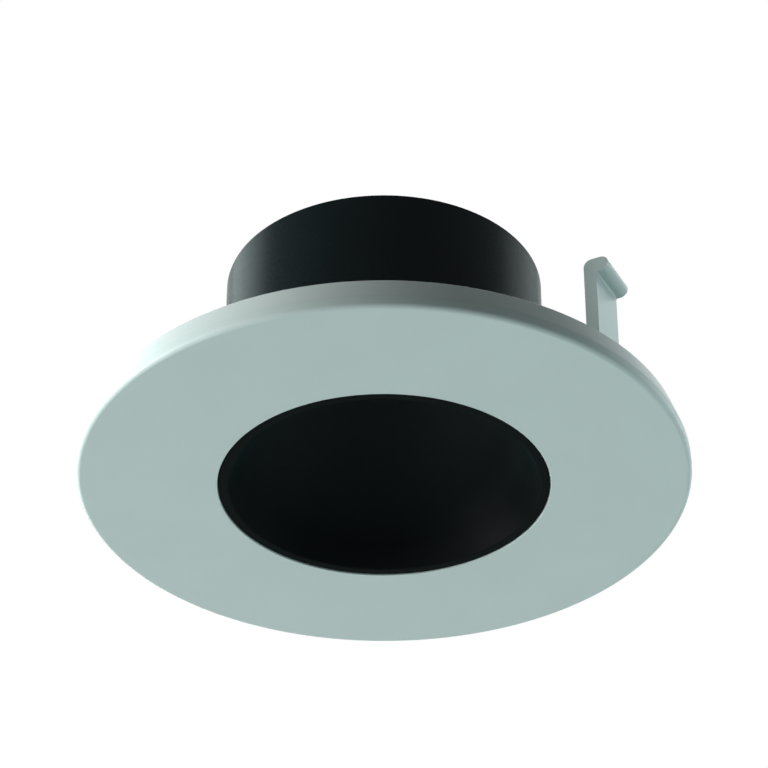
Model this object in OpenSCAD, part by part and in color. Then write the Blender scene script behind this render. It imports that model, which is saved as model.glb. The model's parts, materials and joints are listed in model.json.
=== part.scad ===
// Recessed spotlight: a round trim ring with a deep black baffle, a round lamp housing behind it
// and two sprung hooks that hold the light in a round cut-out in a ceiling or soffit board.
// Millimetres. The origin is the centre of the front face and +Z points up into the ceiling.

/* [Trim ring] */
// Outside diameter of the ring
ring_d = 90; // [86:0.5:100]
// How far the ring reaches past the edge of the cut-out
ring_overlap = 7.5; // [6.5:0.1:9]
// Diameter of the round mouth in the ring
mouth_d = 48.8; // [46:0.1:52]
// Thickness of the face plate
plate_t = 2.2; // [2:0.1:3]
// Depth of the rim, from the front face to the ceiling
ring_depth = 5.4; // [5:0.1:7]
// Height of the upright band at the front of the rim
rim_band = 1.8; // [1.2:0.1:2.4]
// Radius of the rounded front edge
edge_r = 0.9; // [0.3:0.1:1.1]
// Thickness of the rim at the band
rim_w = 3; // [2.4:0.1:3.4]
// How far the rim is drawn in between the band and the ceiling
rim_draw = 1.27; // [0.2:0.01:1.6]
// Height of the lands behind the plate that carry the housing and the hook brackets
land_h = 1.2; // [1:0.1:2]
// Skin left in front of the tapped holes
tap_skin = 0.9; // [0.6:0.1:1.2]

/* [Baffle] */
// Width of the lip that shows inside the mouth
lip_w = 1.4; // [0.8:0.1:2.4]
// How much the cone's radius narrows from the lip to the neck
cone_draw = 11.1; // [10:0.1:12.4]
// Wall thickness
baffle_wall = 1.2; // [0.8:0.1:1.3]
// How far the lip lies behind the ring's front face
lip_set = 0.15; // [0.05:0.05:0.6]
// Width of the shoulder that is caught behind the ring
shoulder_w = 1.8; // [1.2:0.1:2.4]

/* [Lamp housing] */
// How far the can's outside stands in from the edge of the mouth
can_set = 0.3; // [0:0.05:0.6]
// Height of the can's back edge above the front face
can_h = 35.9; // [33:0.1:45]
// Wall thickness of the can
can_wall = 2.5; // [2:0.1:2.6]
// Thickness of the can's edge around the rear cover
edge_wall = 1.6; // [1.2:0.1:1.8]
// Thickness of the flange that is screwed to the ring
flange_t = 2.2; // [1.6:0.1:3]

/* [Optics] */
// Width of the ledge round the neck that carries the glass and the lens
glass_land = 2.6; // [2.2:0.1:3]
// Thickness of the glass
glass_t = 1.6; // [1:0.1:2.5]
// Thickness of the flat seal in front of the glass
seal_t = 0.6; // [0.4:0.1:1]
// Thickness of the spacer ring between the glass and the lens
spacer_t = 0.4; // [0.3:0.1:1]
// Edge thickness of the lens
lens_t = 1.8; // [1.2:0.1:2.5]
// Height of the lens's crown
crown_h = 0.6; // [0.2:0.1:0.7]
// Thickness of the snap ring that retains the lens
snap_t = 0.6; // [0.4:0.1:0.8]

/* [Light source] */
// Side of the square light-emitting board
board_side = 12; // [10:0.1:12.4]
// Thickness of the board
board_t = 1; // [0.8:0.1:1.6]
// Diameter of the yellow emitting disc
emitter_d = 9; // [6:0.1:9]
// Thickness of the emitting disc
emitter_t = 0.3; // [0.2:0.1:0.5]
// Thickness of the thermal pad
pad_t = 0.3; // [0.2:0.1:0.5]
// Diameter of the board holder
holder_d = 18.8; // [18.4:0.1:20]
// Thickness of the holder in front of the board
holder_front = 1.2; // [0.8:0.1:1.6]

/* [Rear cover] */
// Thickness of the cover plate
cover_t = 2.2; // [2:0.1:3]
// How far the cover lies inside the can's back edge
cover_sink = 0.6; // [0.2:0.1:1]
// Diameter of the sealing ring's section
oring_d = 1.2; // [0.9:0.1:1.4]
// Height of the cooling fins
fin_h = 5; // [3:0.1:6]
// Thickness of a fin
fin_t = 1.4; // [1:0.1:1.8]
// Distance from one fin to the next
fin_pitch = 4.2; // [3:0.1:6]

/* [Cable gland] */
// Diameter of the cable that the gland takes
cable_d = 5.5; // [4:0.1:5.8]
// Width of the rubber ring round the cable
seal_w = 1.2; // [0.9:0.1:1.4]
// Size of the hexagons, across the flats
gland_hex = 13; // [12.6:0.1:13.4]
// Thickness of the gland's flat hexagon
gland_hex_h = 2.8; // [2:0.1:4]
// Thickness of the sealing washer under the gland
washer_t = 0.8; // [0.5:0.1:1.2]
// Height of the compression nut
nut_h = 7.2; // [6.4:0.1:9]

/* [Hooks] */
// Thickest board that the hooks reach over
board_max = 19; // [12:0.5:25]
// Direction of the first hook, anticlockwise from +X
hook_angle = -26.8; // [-35:0.1:-15]
// Width of a hook
hook_w = 7.5; // [6.8:0.1:9]
// Thickness of a hook's blade
hook_t = 1.95; // [1.6:0.05:2.2]
// Reach of the nose past the blade's outer face
nose_reach = 1.9; // [1.5:0.1:2.6]
// Radius of the nose
nose_r = 1.25; // [1:0.05:1.35]
// Gap between the blade and the edge of the cut-out
hook_gap = 0.95; // [0.7:0.05:1.4]
// How far a hook swings inwards, in degrees
swing = 12; // [8:1:14]
// Diameter of the hinge pin
pin_d = 2.5; // [2:0.1:2.6]
// Thickness of the bracket's sheet
sheet_t = 1; // [0.8:0.1:1.2]

/* [Hook springs] */
// Wire diameter
wire_d = 0.5; // [0.4:0.05:0.5]
// Mean diameter of the coil
coil_d = 3.5; // [3.4:0.1:3.6]
// Whole turns in the coil
coil_turns = 3; // [2:1:3]
// Distance from one turn to the next
coil_pitch = 0.95; // [0.92:0.01:0.98]

/* [Screws] */
// Thread diameter of the screws in the ring
ring_screw_d = 2.5; // [2:0.1:2.6]
// Thread diameter of the rear cover's screws
cover_screw_d = 2.5; // [2:0.1:2.6]
// Thread diameter of the holder's screws
holder_screw_d = 1.6; // [1.4:0.1:1.8]
// Number of screws that fix the housing to the ring
ring_screws = 4; // [4:2:4]
// Number of screws that fix the rear cover
cover_screws = 3; // [3:1:3]

/* [Clearances] */
// Between parts that are slipped together
slip = 0.1; // [0.05:0.01:0.15]
// Around a screw in its tapped hole
tap_gap = 0.05; // [0.02:0.01:0.08]
// Around a screw in a plain hole
hole_gap = 0.15; // [0.1:0.01:0.25]
// Between a hinge pin and a hook
run_gap = 0.05; // [0.02:0.01:0.1]
// Between a hook and the sides of its bracket
side_gap = 0.25; // [0.15:0.01:0.4]
// Between a stop and what meets it
stop_gap = 0.15; // [0.08:0.01:0.25]

/* [Hidden] */
$fn = 96;

ring_grey = [0.66, 0.73, 0.72];
black = [0.06, 0.07, 0.07];
soft_black = [0.1, 0.1, 0.1];
steel = [0.68, 0.69, 0.7];
clear = [0.85, 0.9, 0.92, 0.5];
white = [0.93, 0.93, 0.91];
yellow = [0.95, 0.83, 0.25];

// Radii of the ring
ring_r = ring_d / 2;
mouth_r = mouth_d / 2;
rim_inner_r = ring_r - rim_w;
cutout_d = ring_d - 2 * ring_overlap;
cutout_r = cutout_d / 2;

// Baffle: lip, shoulder, cone and the cup that holds the optics
cone_d = mouth_d - 2 * (slip + lip_w);
cone_r = cone_d / 2;
neck_d = cone_d - 2 * cone_draw;
neck_r = neck_d / 2;
shoulder_r = mouth_r + shoulder_w;
collar_w = 1.6;
collar_r = shoulder_r + slip + collar_w;
seat_z = plate_t + land_h;

// Rear cover and what hangs from its inner face
cover_z = can_h - cover_sink - cover_t;
board_z = cover_z - pad_t - board_t;
emitter_z = board_z - emitter_t;
holder_z = board_z - holder_front;
cup_gap = 0.2;
cup_top = holder_z - cup_gap;
cup_lip = 0.2;
cup_wall = 1.1;
glass_d = neck_d + 2 * glass_land;
cup_r = glass_d / 2 + slip;
cup_outer_r = cup_r + cup_wall;

// The optical stack, from the snap ring down to the neck of the cone
snap_z = cup_top - cup_lip - snap_t;
lens_z = snap_z - lens_t;
spacer_z = lens_z - spacer_t;
glass_z = spacer_z - glass_t;
neck_z = glass_z - seal_t;
ring_land = 1.5;
seal_edge = 0.4;
glass_bevel = 0.2;
crown_edge = 0.8;
snap_opening = 4;

// Slope of the cone and its wall measured square to the axis
cone_slope = (cone_r - neck_r) / (neck_z - lip_set);
wall_across = baffle_wall * sqrt(1 + cone_slope * cone_slope);
function cone_at(z) = cone_r - cone_slope * (z - lip_set);

// Lamp housing
can_d = mouth_d - 2 * can_set;
can_r = can_d / 2;
bore_r = can_r - can_wall;
cover_bore_r = can_r - edge_wall;
foot_gap = 0.2;
foot_bore_r = cone_at(seat_z) + wall_across + foot_gap;
foot_bore_top = seat_z + (foot_bore_r - bore_r) / cone_slope + 2 * foot_gap;
foot_fillet_r = 0.8;
flange_gap = 0.3;

// Screws: head radius and head height follow the thread
function head_r(d) = 0.9 * d;
function head_h(d) = 0.6 * d;
tap_end_gap = 0.2;
ring_screw_length = seat_z - tap_skin - tap_end_gap;
ring_screw_set = 1.9;
ring_screw_r = collar_r + ring_screw_set;
boss_wall = 1.9;
ring_boss_r = ring_screw_d / 2 + boss_wall;
column_wall = 1.05;
column_r = cover_screw_d / 2 + column_wall;
column_set = 2;
column_at = bore_r - column_set;
column_h = 8;
column_skin = 1.5;
column_root = 0.8;
column_angle = 30;
screw_end_gap = 0.5;
holder_head_gap = 0.86;
holder_screw_at = glass_d / 2 - ring_land - holder_head_gap - head_r(holder_screw_d);
holder_ear_wall = 1.6;
holder_ear_r = holder_screw_d / 2 + holder_ear_wall;
window_gap = 0.3;

// Rear cover
cover_r = cover_bore_r - slip;
fin_gap = 0.2;
fin_zone_r = column_at - head_r(cover_screw_d) - fin_gap;
groove_w = oring_d + slip / 2;
fin_foot = cover_z + cover_t;

// Cable gland, as far out towards +Y as the cover allows
hex_corner = gland_hex / sqrt(3);
gland_edge = 0.9;
gland_y = cover_r - gland_edge - hex_corner;
gland_boss_rim = 0.2;
gland_boss_r = hex_corner + gland_boss_rim;
gland_boss_h = 1.2;
washer_z = fin_foot + gland_boss_h;
gland_z = washer_z + washer_t;
nut_gap = 0.3;
nut_z = gland_z + gland_hex_h + nut_gap;
nut_top = nut_z + nut_h;
nut_roof = 1.9;
nut_dome_h = 3;
nut_band_h = 0.4;
nut_edge = 0.2;
nut_lip = 1.1;
washer_w = 1.1;
gland_neck_wall = 0.9;
gland_neck_r = cable_d / 2 + seal_w + slip / 2 + gland_neck_wall;
gland_thread_r = gland_neck_r + slip;
gland_neck_gap = 0.6;
gland_neck_top = nut_top - nut_roof - gland_neck_gap;
cable_gap = 0.2;
gland_bore_r = cable_d / 2 + cable_gap;
seal_pocket_r = gland_neck_r - gland_neck_wall;
seal_pocket_rise = 0.5;
seal_pocket_z = nut_z + seal_pocket_rise;

// Terminal block against the back of the can, below the gland
block_drop = 11.4;
block_z = cup_top - block_drop;
block_h = 8;
block_w = 11;
block_gap = 0.5;
block_y = cone_at(block_z) + wall_across + block_gap;
block_hole_r = 1.1;
block_hole_depth = 1.2;
lead_r = 0.5;
lead_x = block_w / 5;
lead_bend = 1;
lead_z = holder_z + 2 * lead_r;
lead_touch = 0.02;
lead_y = (block_y + bore_r) / 2;

// A hook in its own upright plane: u runs outwards along the radius, t across it
blade_out = cutout_r - hook_gap;
blade_in = blade_out - hook_t;
pivot_set = 0.6;
pivot_u = blade_in - pivot_set;
pivot_rise = 3.2;
base_z = seat_z + sheet_t;
pivot_z = base_z + pivot_rise;
pin_r = pin_d / 2;
knuckle_wall = 0.95;
knuckle_r = pin_r + knuckle_wall;
blade_rise = 2.4;
blade_root = pivot_z + blade_rise;
board_gap = 0.3;
nose_fillet_r = 0.25;
nose_z = ring_depth + board_max + board_gap + nose_r + nose_fillet_r;
nose_u = blade_out + nose_reach - nose_r;
coil_play = 0.45;
knuckle_gap = coil_turns * coil_pitch + wire_d + coil_play;
toe_drop = 2.4;
toe_h = 1.6;

// Bracket: web behind the hook, ears at its sides, tabs for the screws
web_gap = 0.4;
web_u = pivot_u - knuckle_r - web_gap;
bracket_u = web_u - sheet_t;
web_rise = 5.4;
web_top = pivot_z + web_rise;
web_slot_skin = 0.2;
stop_h = (web_top - pivot_z - pivot_set * sin(swing)) / cos(swing);
stop_u = pivot_u + pivot_set * cos(swing) - stop_h * sin(swing) - stop_gap;
ear_t = hook_w / 2 + side_gap;
ear_wall = 0.85;
ear_r = pin_r + ear_wall;
tab_head_gap = 0.4;
tab_screw_t = ear_t + sheet_t + tab_head_gap + head_r(ring_screw_d);
tab_edge = 0.35;
tab_t = tab_screw_t + head_r(ring_screw_d) + tab_edge;
tab_u = (bracket_u + pivot_u + ear_r) / 2;
pin_fit = 0.02;
pin_head_h = 0.5;
pin_head_rim = 0.6;
pin_head_r = pin_r + pin_head_rim;

// Gasket behind the plate, between the rim and the brackets
gasket_set = 0.8;
gasket_in_r = cutout_r + gasket_set;
gasket_out_r = rim_inner_r - slip;

// Spring in the hook's plane: the coil round the pin, one leg on the base, one on the blade
wire_r = wire_d / 2;
coil_r = coil_d / 2;
leg_touch = 0.05;
leg_web_gap = 0.25;
leg_rise = 6.4;
coil_c = [pivot_u, pivot_z];
leg_low = [web_u + wire_r + leg_web_gap, base_z + wire_r + leg_touch];
leg_high = [blade_in - wire_r - leg_touch, pivot_z + leg_rise];
function bearing(p) = atan2(p[1] - coil_c[1], p[0] - coil_c[0]);
function open_angle(p) = acos(coil_r / norm(p - coil_c));
wind_from = 360 + bearing(leg_low) - open_angle(leg_low);
wind_to = bearing(leg_high) + open_angle(leg_high) - 360 * coil_turns;
wound = wind_from - wind_to;
rings_per_turn = 8;
coil_steps = ceil(wound / 360 * rings_per_turn);
coil_span = coil_pitch * wound / 360;
function coil_point(k) =
    let (a = wind_from - wound * k / coil_steps)
    [coil_c[0] + coil_r * cos(a), coil_span * (k / coil_steps - 0.5), coil_c[1] + coil_r * sin(a)];
spring_path = concat(
    [for (f = [0, 0.25, 0.6])
        [leg_low[0], -coil_span / 2, leg_low[1]] * (1 - f) + coil_point(0) * f],
    [for (k = [0:coil_steps]) coil_point(k)],
    [for (f = [0.3, 0.6, 0.9, 1])
        coil_point(coil_steps) * (1 - f) + [leg_high[0], coil_span / 2, leg_high[1]] * f]
);
tube_sides = 6;
function unit(v) = v / norm(v);
function tangents(p) =
    [for (i = [0:len(p) - 1]) unit(p[min(i + 1, len(p) - 1)] - p[max(i - 1, 0)])];
function square_to(v, t) = unit(v - (v * t) * t);
function normals(t) =
    [for (i = 0, n = square_to([0, 1, 0], t[0]); i < len(t);
        n = i + 1 < len(t) ? square_to(n, t[i + 1]) : n, i = i + 1) n];
function least_gap(p, d, skip) =
    min([for (i = [0:len(p) - 1]) for (j = [i + 1:len(p) - 1]) if (j - i >= skip) norm(p[i] - p[j])]) - d;
echo("least gap between turns of a hook spring", least_gap(spring_path, wire_d, rings_per_turn - 2));

// A closed tube of six sides along a list of points
module tube(p, r) {
    t = tangents(p);
    n = normals(t);
    last = (len(p) - 1) * tube_sides;
    points = [for (i = [0:len(p) - 1]) for (k = [0:tube_sides - 1])
        let (a = 360 * k / tube_sides) p[i] + r * (cos(a) * n[i] + sin(a) * cross(t[i], n[i]))];
    walls = [for (i = [0:len(p) - 2]) for (k = [0:tube_sides - 1])
        let (a = i * tube_sides + k, b = i * tube_sides + (k + 1) % tube_sides)
        each [[a, a + tube_sides, b + tube_sides], [a, b + tube_sides, b]]];
    ends = [[for (k = [0:tube_sides - 1]) k], [for (k = [tube_sides - 1:-1:0]) last + k]];
    polyhedron(points = points, faces = concat(walls, ends));
}

// A flat ring from radius r1 to r2, standing on z
module flat_ring(r1, r2, z, h) {
    translate([0, 0, z]) difference() {
        cylinder(r = r2, h = h);
        translate([0, 0, -1]) cylinder(r = r1, h = h + 2);
    }
}

// A screw with its head's seat at z = 0 and its shank pointing down
module screw(d, length) {
    hr = head_r(d);
    hh = head_h(d);
    slot = 0.28 * d;
    difference() {
        union() {
            rotate_extrude()
                polygon([[0, 0], [hr, 0], [hr, 0.55 * hh], [hr - 0.45 * hh, hh], [0, hh]]);
            translate([0, 0, -length]) cylinder(r = d / 2, h = length + 0.1);
        }
        for (a = [0, 90]) rotate([0, 0, a])
            translate([-0.55 * hr, -slot / 2, 0.5 * hh]) cube([1.1 * hr, slot, hh]);
    }
}

// Copies turned about the axis of the light
module around(count, first) {
    for (i = [0:count - 1]) rotate([0, 0, first + 360 * i / count]) children();
}

// Into a hook's plane: its children's X is u, outwards, and their Y is t
module at_hook(side) {
    rotate([0, 0, hook_angle + 180 * side]) children();
}

// A profile drawn in u and z, given a width across t
module across(t0, t1) {
    translate([0, t1, 0]) rotate([90, 0, 0]) linear_extrude(t1 - t0) children();
}

// Where the housing's screws go: half way between the hooks
module at_ring_screws() {
    around(ring_screws, hook_angle + 180 / ring_screws) translate([ring_screw_r, 0, 0]) children();
}

module at_tab_screws() {
    for (side = [0, 1]) at_hook(side) for (s = [-1, 1]) translate([tab_u, s * tab_screw_t, 0]) children();
}

module at_columns() {
    around(cover_screws, column_angle) translate([column_at, 0, 0]) children();
}

module trim_ring() {
    color(ring_grey) difference() {
        union() {
            rotate_extrude() {
                translate([mouth_r, 0]) square([ring_r - edge_r - mouth_r, plate_t]);
                intersection() {
                    translate([ring_r - edge_r, edge_r]) circle(r = edge_r);
                    translate([0, 0]) square([ring_r, edge_r]);
                }
                translate([rim_inner_r, edge_r]) square([rim_w, rim_band - edge_r]);
                polygon([[rim_inner_r, rim_band], [ring_r, rim_band],
                    [ring_r - rim_draw, ring_depth], [rim_inner_r, ring_depth]]);
            }
            flat_ring(shoulder_r + slip, collar_r, plate_t - 0.1, land_h + 0.1);
            at_ring_screws() cylinder(r = ring_boss_r, h = seat_z);
            for (side = [0, 1]) at_hook(side)
                translate([bracket_u, -tab_t, plate_t / 2])
                    cube([pivot_u + ear_r - bracket_u, 2 * tab_t, seat_z - plate_t / 2]);
        }
        at_ring_screws() translate([0, 0, tap_skin])
            cylinder(r = ring_screw_d / 2 + tap_gap, h = seat_z);
        at_tab_screws() translate([0, 0, tap_skin])
            cylinder(r = ring_screw_d / 2 + tap_gap, h = seat_z);
        translate([0, 0, plate_t]) cylinder(r = shoulder_r + slip, h = seat_z);
    }
}

module ceiling_gasket() {
    color(soft_black) flat_ring(gasket_in_r, gasket_out_r, plate_t, ring_depth - plate_t);
}

module baffle() {
    lip_r = mouth_r - slip;
    color(black) rotate_extrude() polygon([
        [cone_r, lip_set], [lip_r, lip_set], [lip_r, plate_t], [shoulder_r, plate_t],
        [shoulder_r, seat_z], [cone_at(seat_z) + wall_across, seat_z],
        [cone_at(neck_z - baffle_wall) + wall_across, neck_z - baffle_wall],
        [cup_outer_r, neck_z - baffle_wall], [cup_outer_r, cup_top], [cup_r, cup_top],
        [cup_r, neck_z], [neck_r, neck_z]
    ]);
}

module glass_seal() {
    color(soft_black) flat_ring(neck_r + seal_edge, glass_d / 2, neck_z, seal_t);
}

module front_glass() {
    r = glass_d / 2;
    flat_r = r - glass_bevel;
    color(clear) rotate_extrude() polygon([
        [0, glass_z], [flat_r, glass_z], [r, glass_z + glass_bevel],
        [r, glass_z + glass_t - glass_bevel], [flat_r, glass_z + glass_t], [0, glass_z + glass_t]
    ]);
}

module lens_spacer() {
    color(white) flat_ring(glass_d / 2 - ring_land, glass_d / 2, spacer_z, spacer_t);
}

module optic_lens() {
    crown_r = holder_screw_at - head_r(holder_screw_d) - crown_edge;
    ball_r = (crown_r * crown_r + crown_h * crown_h) / (2 * crown_h);
    top = lens_z + lens_t;
    color(clear) rotate_extrude() union() {
        translate([0, lens_z]) square([glass_d / 2, lens_t]);
        intersection() {
            translate([0, top + crown_h - ball_r]) circle(r = ball_r);
            translate([0, lens_z + lens_t / 2]) square([crown_r, lens_t / 2 + crown_h]);
        }
    }
}

module lens_snap_ring() {
    color(steel) difference() {
        flat_ring(glass_d / 2 - ring_land, glass_d / 2, snap_z, snap_t);
        translate([0, -snap_opening / 2, snap_z - 1]) cube([glass_d, snap_opening, snap_t + 2]);
    }
}

module lamp_housing() {
    r = foot_fillet_r;
    color(black) difference() {
        union() {
            difference() {
                union() {
                    translate([0, 0, seat_z]) cylinder(r = can_r, h = can_h - seat_z);
                    translate([0, 0, seat_z]) cylinder(r = collar_r, h = flange_t);
                    at_ring_screws() translate([0, 0, seat_z]) {
                        cylinder(r = ring_boss_r, h = flange_t);
                        translate([-ring_screw_r / 3, -ring_boss_r, 0])
                            cube([ring_screw_r / 3, 2 * ring_boss_r, flange_t]);
                    }
                    rotate_extrude() difference() {
                        translate([can_r - 0.1, seat_z + flange_t - 0.1]) square(r + 0.1);
                        translate([can_r + r, seat_z + flange_t + r]) circle(r = r);
                    }
                }
                translate([0, 0, seat_z - 1]) cylinder(r = bore_r, h = can_h);
                translate([0, 0, seat_z - 1]) cylinder(r = foot_bore_r, h = foot_bore_top - seat_z + 1);
            }
            intersection() {
                at_columns() translate([0, 0, cover_z - column_h])
                    cylinder(r = column_r, h = column_h);
                cylinder(r = bore_r + column_root, h = can_h);
            }
        }
        translate([0, 0, cover_z]) cylinder(r = cover_bore_r, h = can_h);
        at_columns() translate([0, 0, cover_z - column_h + column_skin])
            cylinder(r = cover_screw_d / 2 + tap_gap, h = column_h);
        at_ring_screws() translate([0, 0, seat_z - 1])
            cylinder(r = ring_screw_d / 2 + hole_gap, h = flange_t + 2);
        for (side = [0, 1]) at_hook(side)
            translate([bracket_u - flange_gap, -tab_t - flange_gap, seat_z - 1])
                cube([ring_r, 2 * (tab_t + flange_gap), flange_t + 2]);
    }
}

module housing_screws() {
    color(steel) at_ring_screws() translate([0, 0, seat_z + flange_t])
        screw(ring_screw_d, flange_t + ring_screw_length);
}

module led_emitter() {
    color(yellow) translate([0, 0, emitter_z]) cylinder(r = emitter_d / 2, h = emitter_t);
}

module led_board() {
    color(white) translate([-board_side / 2, -board_side / 2, board_z])
        cube([board_side, board_side, board_t]);
}

module led_holder() {
    depth = holder_front + board_t + pad_t;
    pocket = board_side + 2 * slip;
    window_r = emitter_d / 2 + window_gap;
    color(white) translate([0, 0, holder_z]) difference() {
        union() {
            cylinder(r = holder_d / 2, h = depth);
            translate([-holder_screw_at, -holder_ear_r, 0])
                cube([2 * holder_screw_at, 2 * holder_ear_r, depth]);
            for (s = [-1, 1]) translate([s * holder_screw_at, 0, 0])
                cylinder(r = holder_ear_r, h = depth);
        }
        translate([-pocket / 2, -pocket / 2, holder_front]) cube([pocket, pocket, depth]);
        translate([0, 0, -0.01])
            cylinder(r1 = window_r + 0.8 * holder_front, r2 = window_r, h = holder_front + 0.02);
        for (s = [-1, 1]) translate([s * holder_screw_at, 0, -1])
            cylinder(r = holder_screw_d / 2 + hole_gap, h = depth + 2);
    }
}

module holder_screws() {
    grip = cover_z - holder_z;
    color(steel) for (s = [-1, 1]) translate([s * holder_screw_at, 0, holder_z])
        rotate([180, 0, 0]) screw(holder_screw_d, grip + cover_t - tap_skin - slip);
}

module thermal_pad() {
    color([0.55, 0.6, 0.66]) translate([-board_side / 2, -board_side / 2, cover_z - pad_t])
        cube([board_side, board_side, pad_t]);
}

// Two insulated leads: up from the terminal block, round a bend and in to the holder's edge
module led_leads() {
    edge_y = sqrt(pow(holder_d / 2, 2) - pow(lead_x - lead_r, 2));
    top = block_z + block_h;
    for (s = [-1, 1]) color(s > 0 ? [0.7, 0.1, 0.08] : soft_black) translate([s * lead_x, 0, 0]) {
        translate([0, lead_y, top]) cylinder(r = lead_r, h = lead_z - lead_bend - top);
        translate([0, lead_y - lead_bend, lead_z - lead_bend]) rotate([0, -90, 0])
            rotate_extrude(angle = 90) translate([lead_bend, 0]) circle(r = lead_r);
        translate([0, edge_y + lead_touch, lead_z]) rotate([-90, 0, 0])
            cylinder(r = lead_r, h = lead_y - lead_bend - edge_y - lead_touch);
    }
}

module terminal_block() {
    color(white) difference() {
        intersection() {
            translate([-block_w / 2, block_y, block_z]) cube([block_w, can_r, block_h]);
            cylinder(r = bore_r - slip, h = can_h);
        }
        for (s = [-1, 1]) translate([s * lead_x, block_y - 1, block_z + 0.35 * block_h])
            rotate([-90, 0, 0]) cylinder(r = block_hole_r, h = block_hole_depth + 1);
    }
}

module rear_cover() {
    color(black) difference() {
        union() {
            translate([0, 0, cover_z]) cylinder(r = cover_r, h = cover_t);
            translate([0, gland_y, fin_foot - 0.1]) cylinder(r = gland_boss_r, h = gland_boss_h + 0.1);
            intersection() {
                for (i = [-floor(fin_zone_r / fin_pitch):floor(fin_zone_r / fin_pitch)])
                    translate([-fin_zone_r, i * fin_pitch - fin_t / 2, fin_foot - 0.1])
                        cube([2 * fin_zone_r, fin_t, fin_h + 0.1]);
                difference() {
                    cylinder(r = fin_zone_r, h = can_h * 2);
                    translate([0, gland_y, 0]) cylinder(r = gland_boss_r + gland_edge, h = can_h * 2);
                }
            }
        }
        flat_ring(cover_r - oring_d + slip, cover_r + 1, cover_z + (cover_t - groove_w) / 2, groove_w);
        translate([0, gland_y, cover_z - 1])
            cylinder(r = gland_thread_r + tap_gap, h = cover_t + gland_boss_h + 2);
        at_columns() translate([0, 0, cover_z - 1])
            cylinder(r = cover_screw_d / 2 + hole_gap, h = cover_t + 2);
        for (s = [-1, 1]) translate([s * holder_screw_at, 0, cover_z - 1])
            cylinder(r = holder_screw_d / 2 + tap_gap, h = cover_t + 1 - tap_skin);
    }
}

module rear_seal() {
    color(soft_black) rotate_extrude()
        translate([cover_bore_r - oring_d / 2, cover_z + cover_t / 2]) circle(r = oring_d / 2);
}

module rear_screws() {
    color(steel) at_columns() translate([0, 0, fin_foot])
        screw(cover_screw_d, cover_t + column_h - column_skin - screw_end_gap);
}

module gland_washer() {
    color(soft_black) translate([0, gland_y, 0])
        flat_ring(gland_thread_r + slip, gland_thread_r + slip + washer_w, washer_z, washer_t);
}

module gland_body() {
    color(soft_black) translate([0, gland_y, 0]) difference() {
        union() {
            translate([0, 0, cover_z]) cylinder(r = gland_thread_r, h = gland_z - cover_z + 0.1);
            translate([0, 0, gland_z]) cylinder(r = hex_corner, h = gland_hex_h, $fn = 6);
            translate([0, 0, gland_z]) cylinder(r = gland_neck_r, h = gland_neck_top - gland_z);
        }
        translate([0, 0, cover_z - 1]) cylinder(r = gland_bore_r, h = gland_neck_top);
        translate([0, 0, seal_pocket_z]) cylinder(r = seal_pocket_r, h = gland_neck_top);
    }
}

module gland_seal() {
    color([0.3, 0.31, 0.32]) translate([0, gland_y, 0])
        flat_ring(cable_d / 2, seal_pocket_r - slip / 2, seal_pocket_z,
            nut_top - nut_roof - slip - seal_pocket_z);
}

module gland_nut() {
    hex_h = nut_h - nut_dome_h;
    dome_r = gland_hex / 2 - nut_edge;
    top_r = gland_bore_r + nut_lip;
    color(soft_black) translate([0, gland_y, nut_z]) difference() {
        union() {
            cylinder(r = hex_corner, h = hex_h, $fn = 6);
            rotate_extrude() translate([0, hex_h]) intersection() {
                square([dome_r, nut_dome_h]);
                union() {
                    square([top_r, nut_dome_h]);
                    translate([top_r, 0]) scale([dome_r - top_r, dome_r - top_r, 1]) circle(r = 1);
                    square([dome_r, nut_band_h]);
                }
            }
        }
        translate([0, 0, -1]) cylinder(r = gland_bore_r, h = nut_h + 2);
        translate([0, 0, -1]) cylinder(r = gland_neck_r + tap_gap, h = nut_h - nut_roof + 1);
    }
}

module hook_bracket(side) {
    back = bracket_u;
    front = pivot_u + ear_r;
    rise = pivot_z - base_z;
    color(steel) at_hook(side) difference() {
        union() {
            translate([back, -tab_t, seat_z]) cube([front - back, 2 * tab_t, sheet_t]);
            translate([back, -ear_t - sheet_t, seat_z])
                cube([sheet_t, 2 * (ear_t + sheet_t), web_top - seat_z]);
            translate([back, -ear_t - sheet_t, web_top - sheet_t])
                cube([stop_u - back, 2 * (ear_t + sheet_t), sheet_t]);
            for (s = [-1, 1]) across(s > 0 ? ear_t : -ear_t - sheet_t, s > 0 ? ear_t + sheet_t : -ear_t) {
                polygon([[back, base_z - 0.1], [front, base_z - 0.1], [front, pivot_z],
                    [stop_u, web_top], [back, web_top]]);
                translate([pivot_u, pivot_z]) circle(r = ear_r);
            }
        }
        translate([pivot_u, 0, pivot_z]) rotate([90, 0, 0])
            cylinder(r = pin_r + pin_fit, h = 4 * ear_t, center = true);
        translate([web_u + web_slot_skin, -knuckle_gap / 2, web_top - 2 * sheet_t])
            cube([knuckle_r * 2, knuckle_gap, 3 * sheet_t]);
        for (s = [-1, 1]) translate([tab_u, s * tab_screw_t, seat_z - 1])
            cylinder(r = ring_screw_d / 2 + hole_gap, h = rise + 1);
    }
}

module bracket_screws() {
    color(steel) at_tab_screws() translate([0, 0, base_z])
        screw(ring_screw_d, sheet_t + ring_screw_length);
}

module hook_pin(side) {
    half = ear_t + sheet_t;
    color(steel) at_hook(side) translate([pivot_u, 0, pivot_z]) rotate([90, 0, 0]) {
        cylinder(r = pin_r, h = 2 * half, center = true);
        for (s = [-1, 1]) translate([0, 0, s * (half + pin_head_h / 2)])
            cylinder(r = pin_head_r, h = pin_head_h, center = true);
    }
}

module hook_spring(side) {
    color(steel) at_hook(side) tube(spring_path, wire_r);
}

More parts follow.
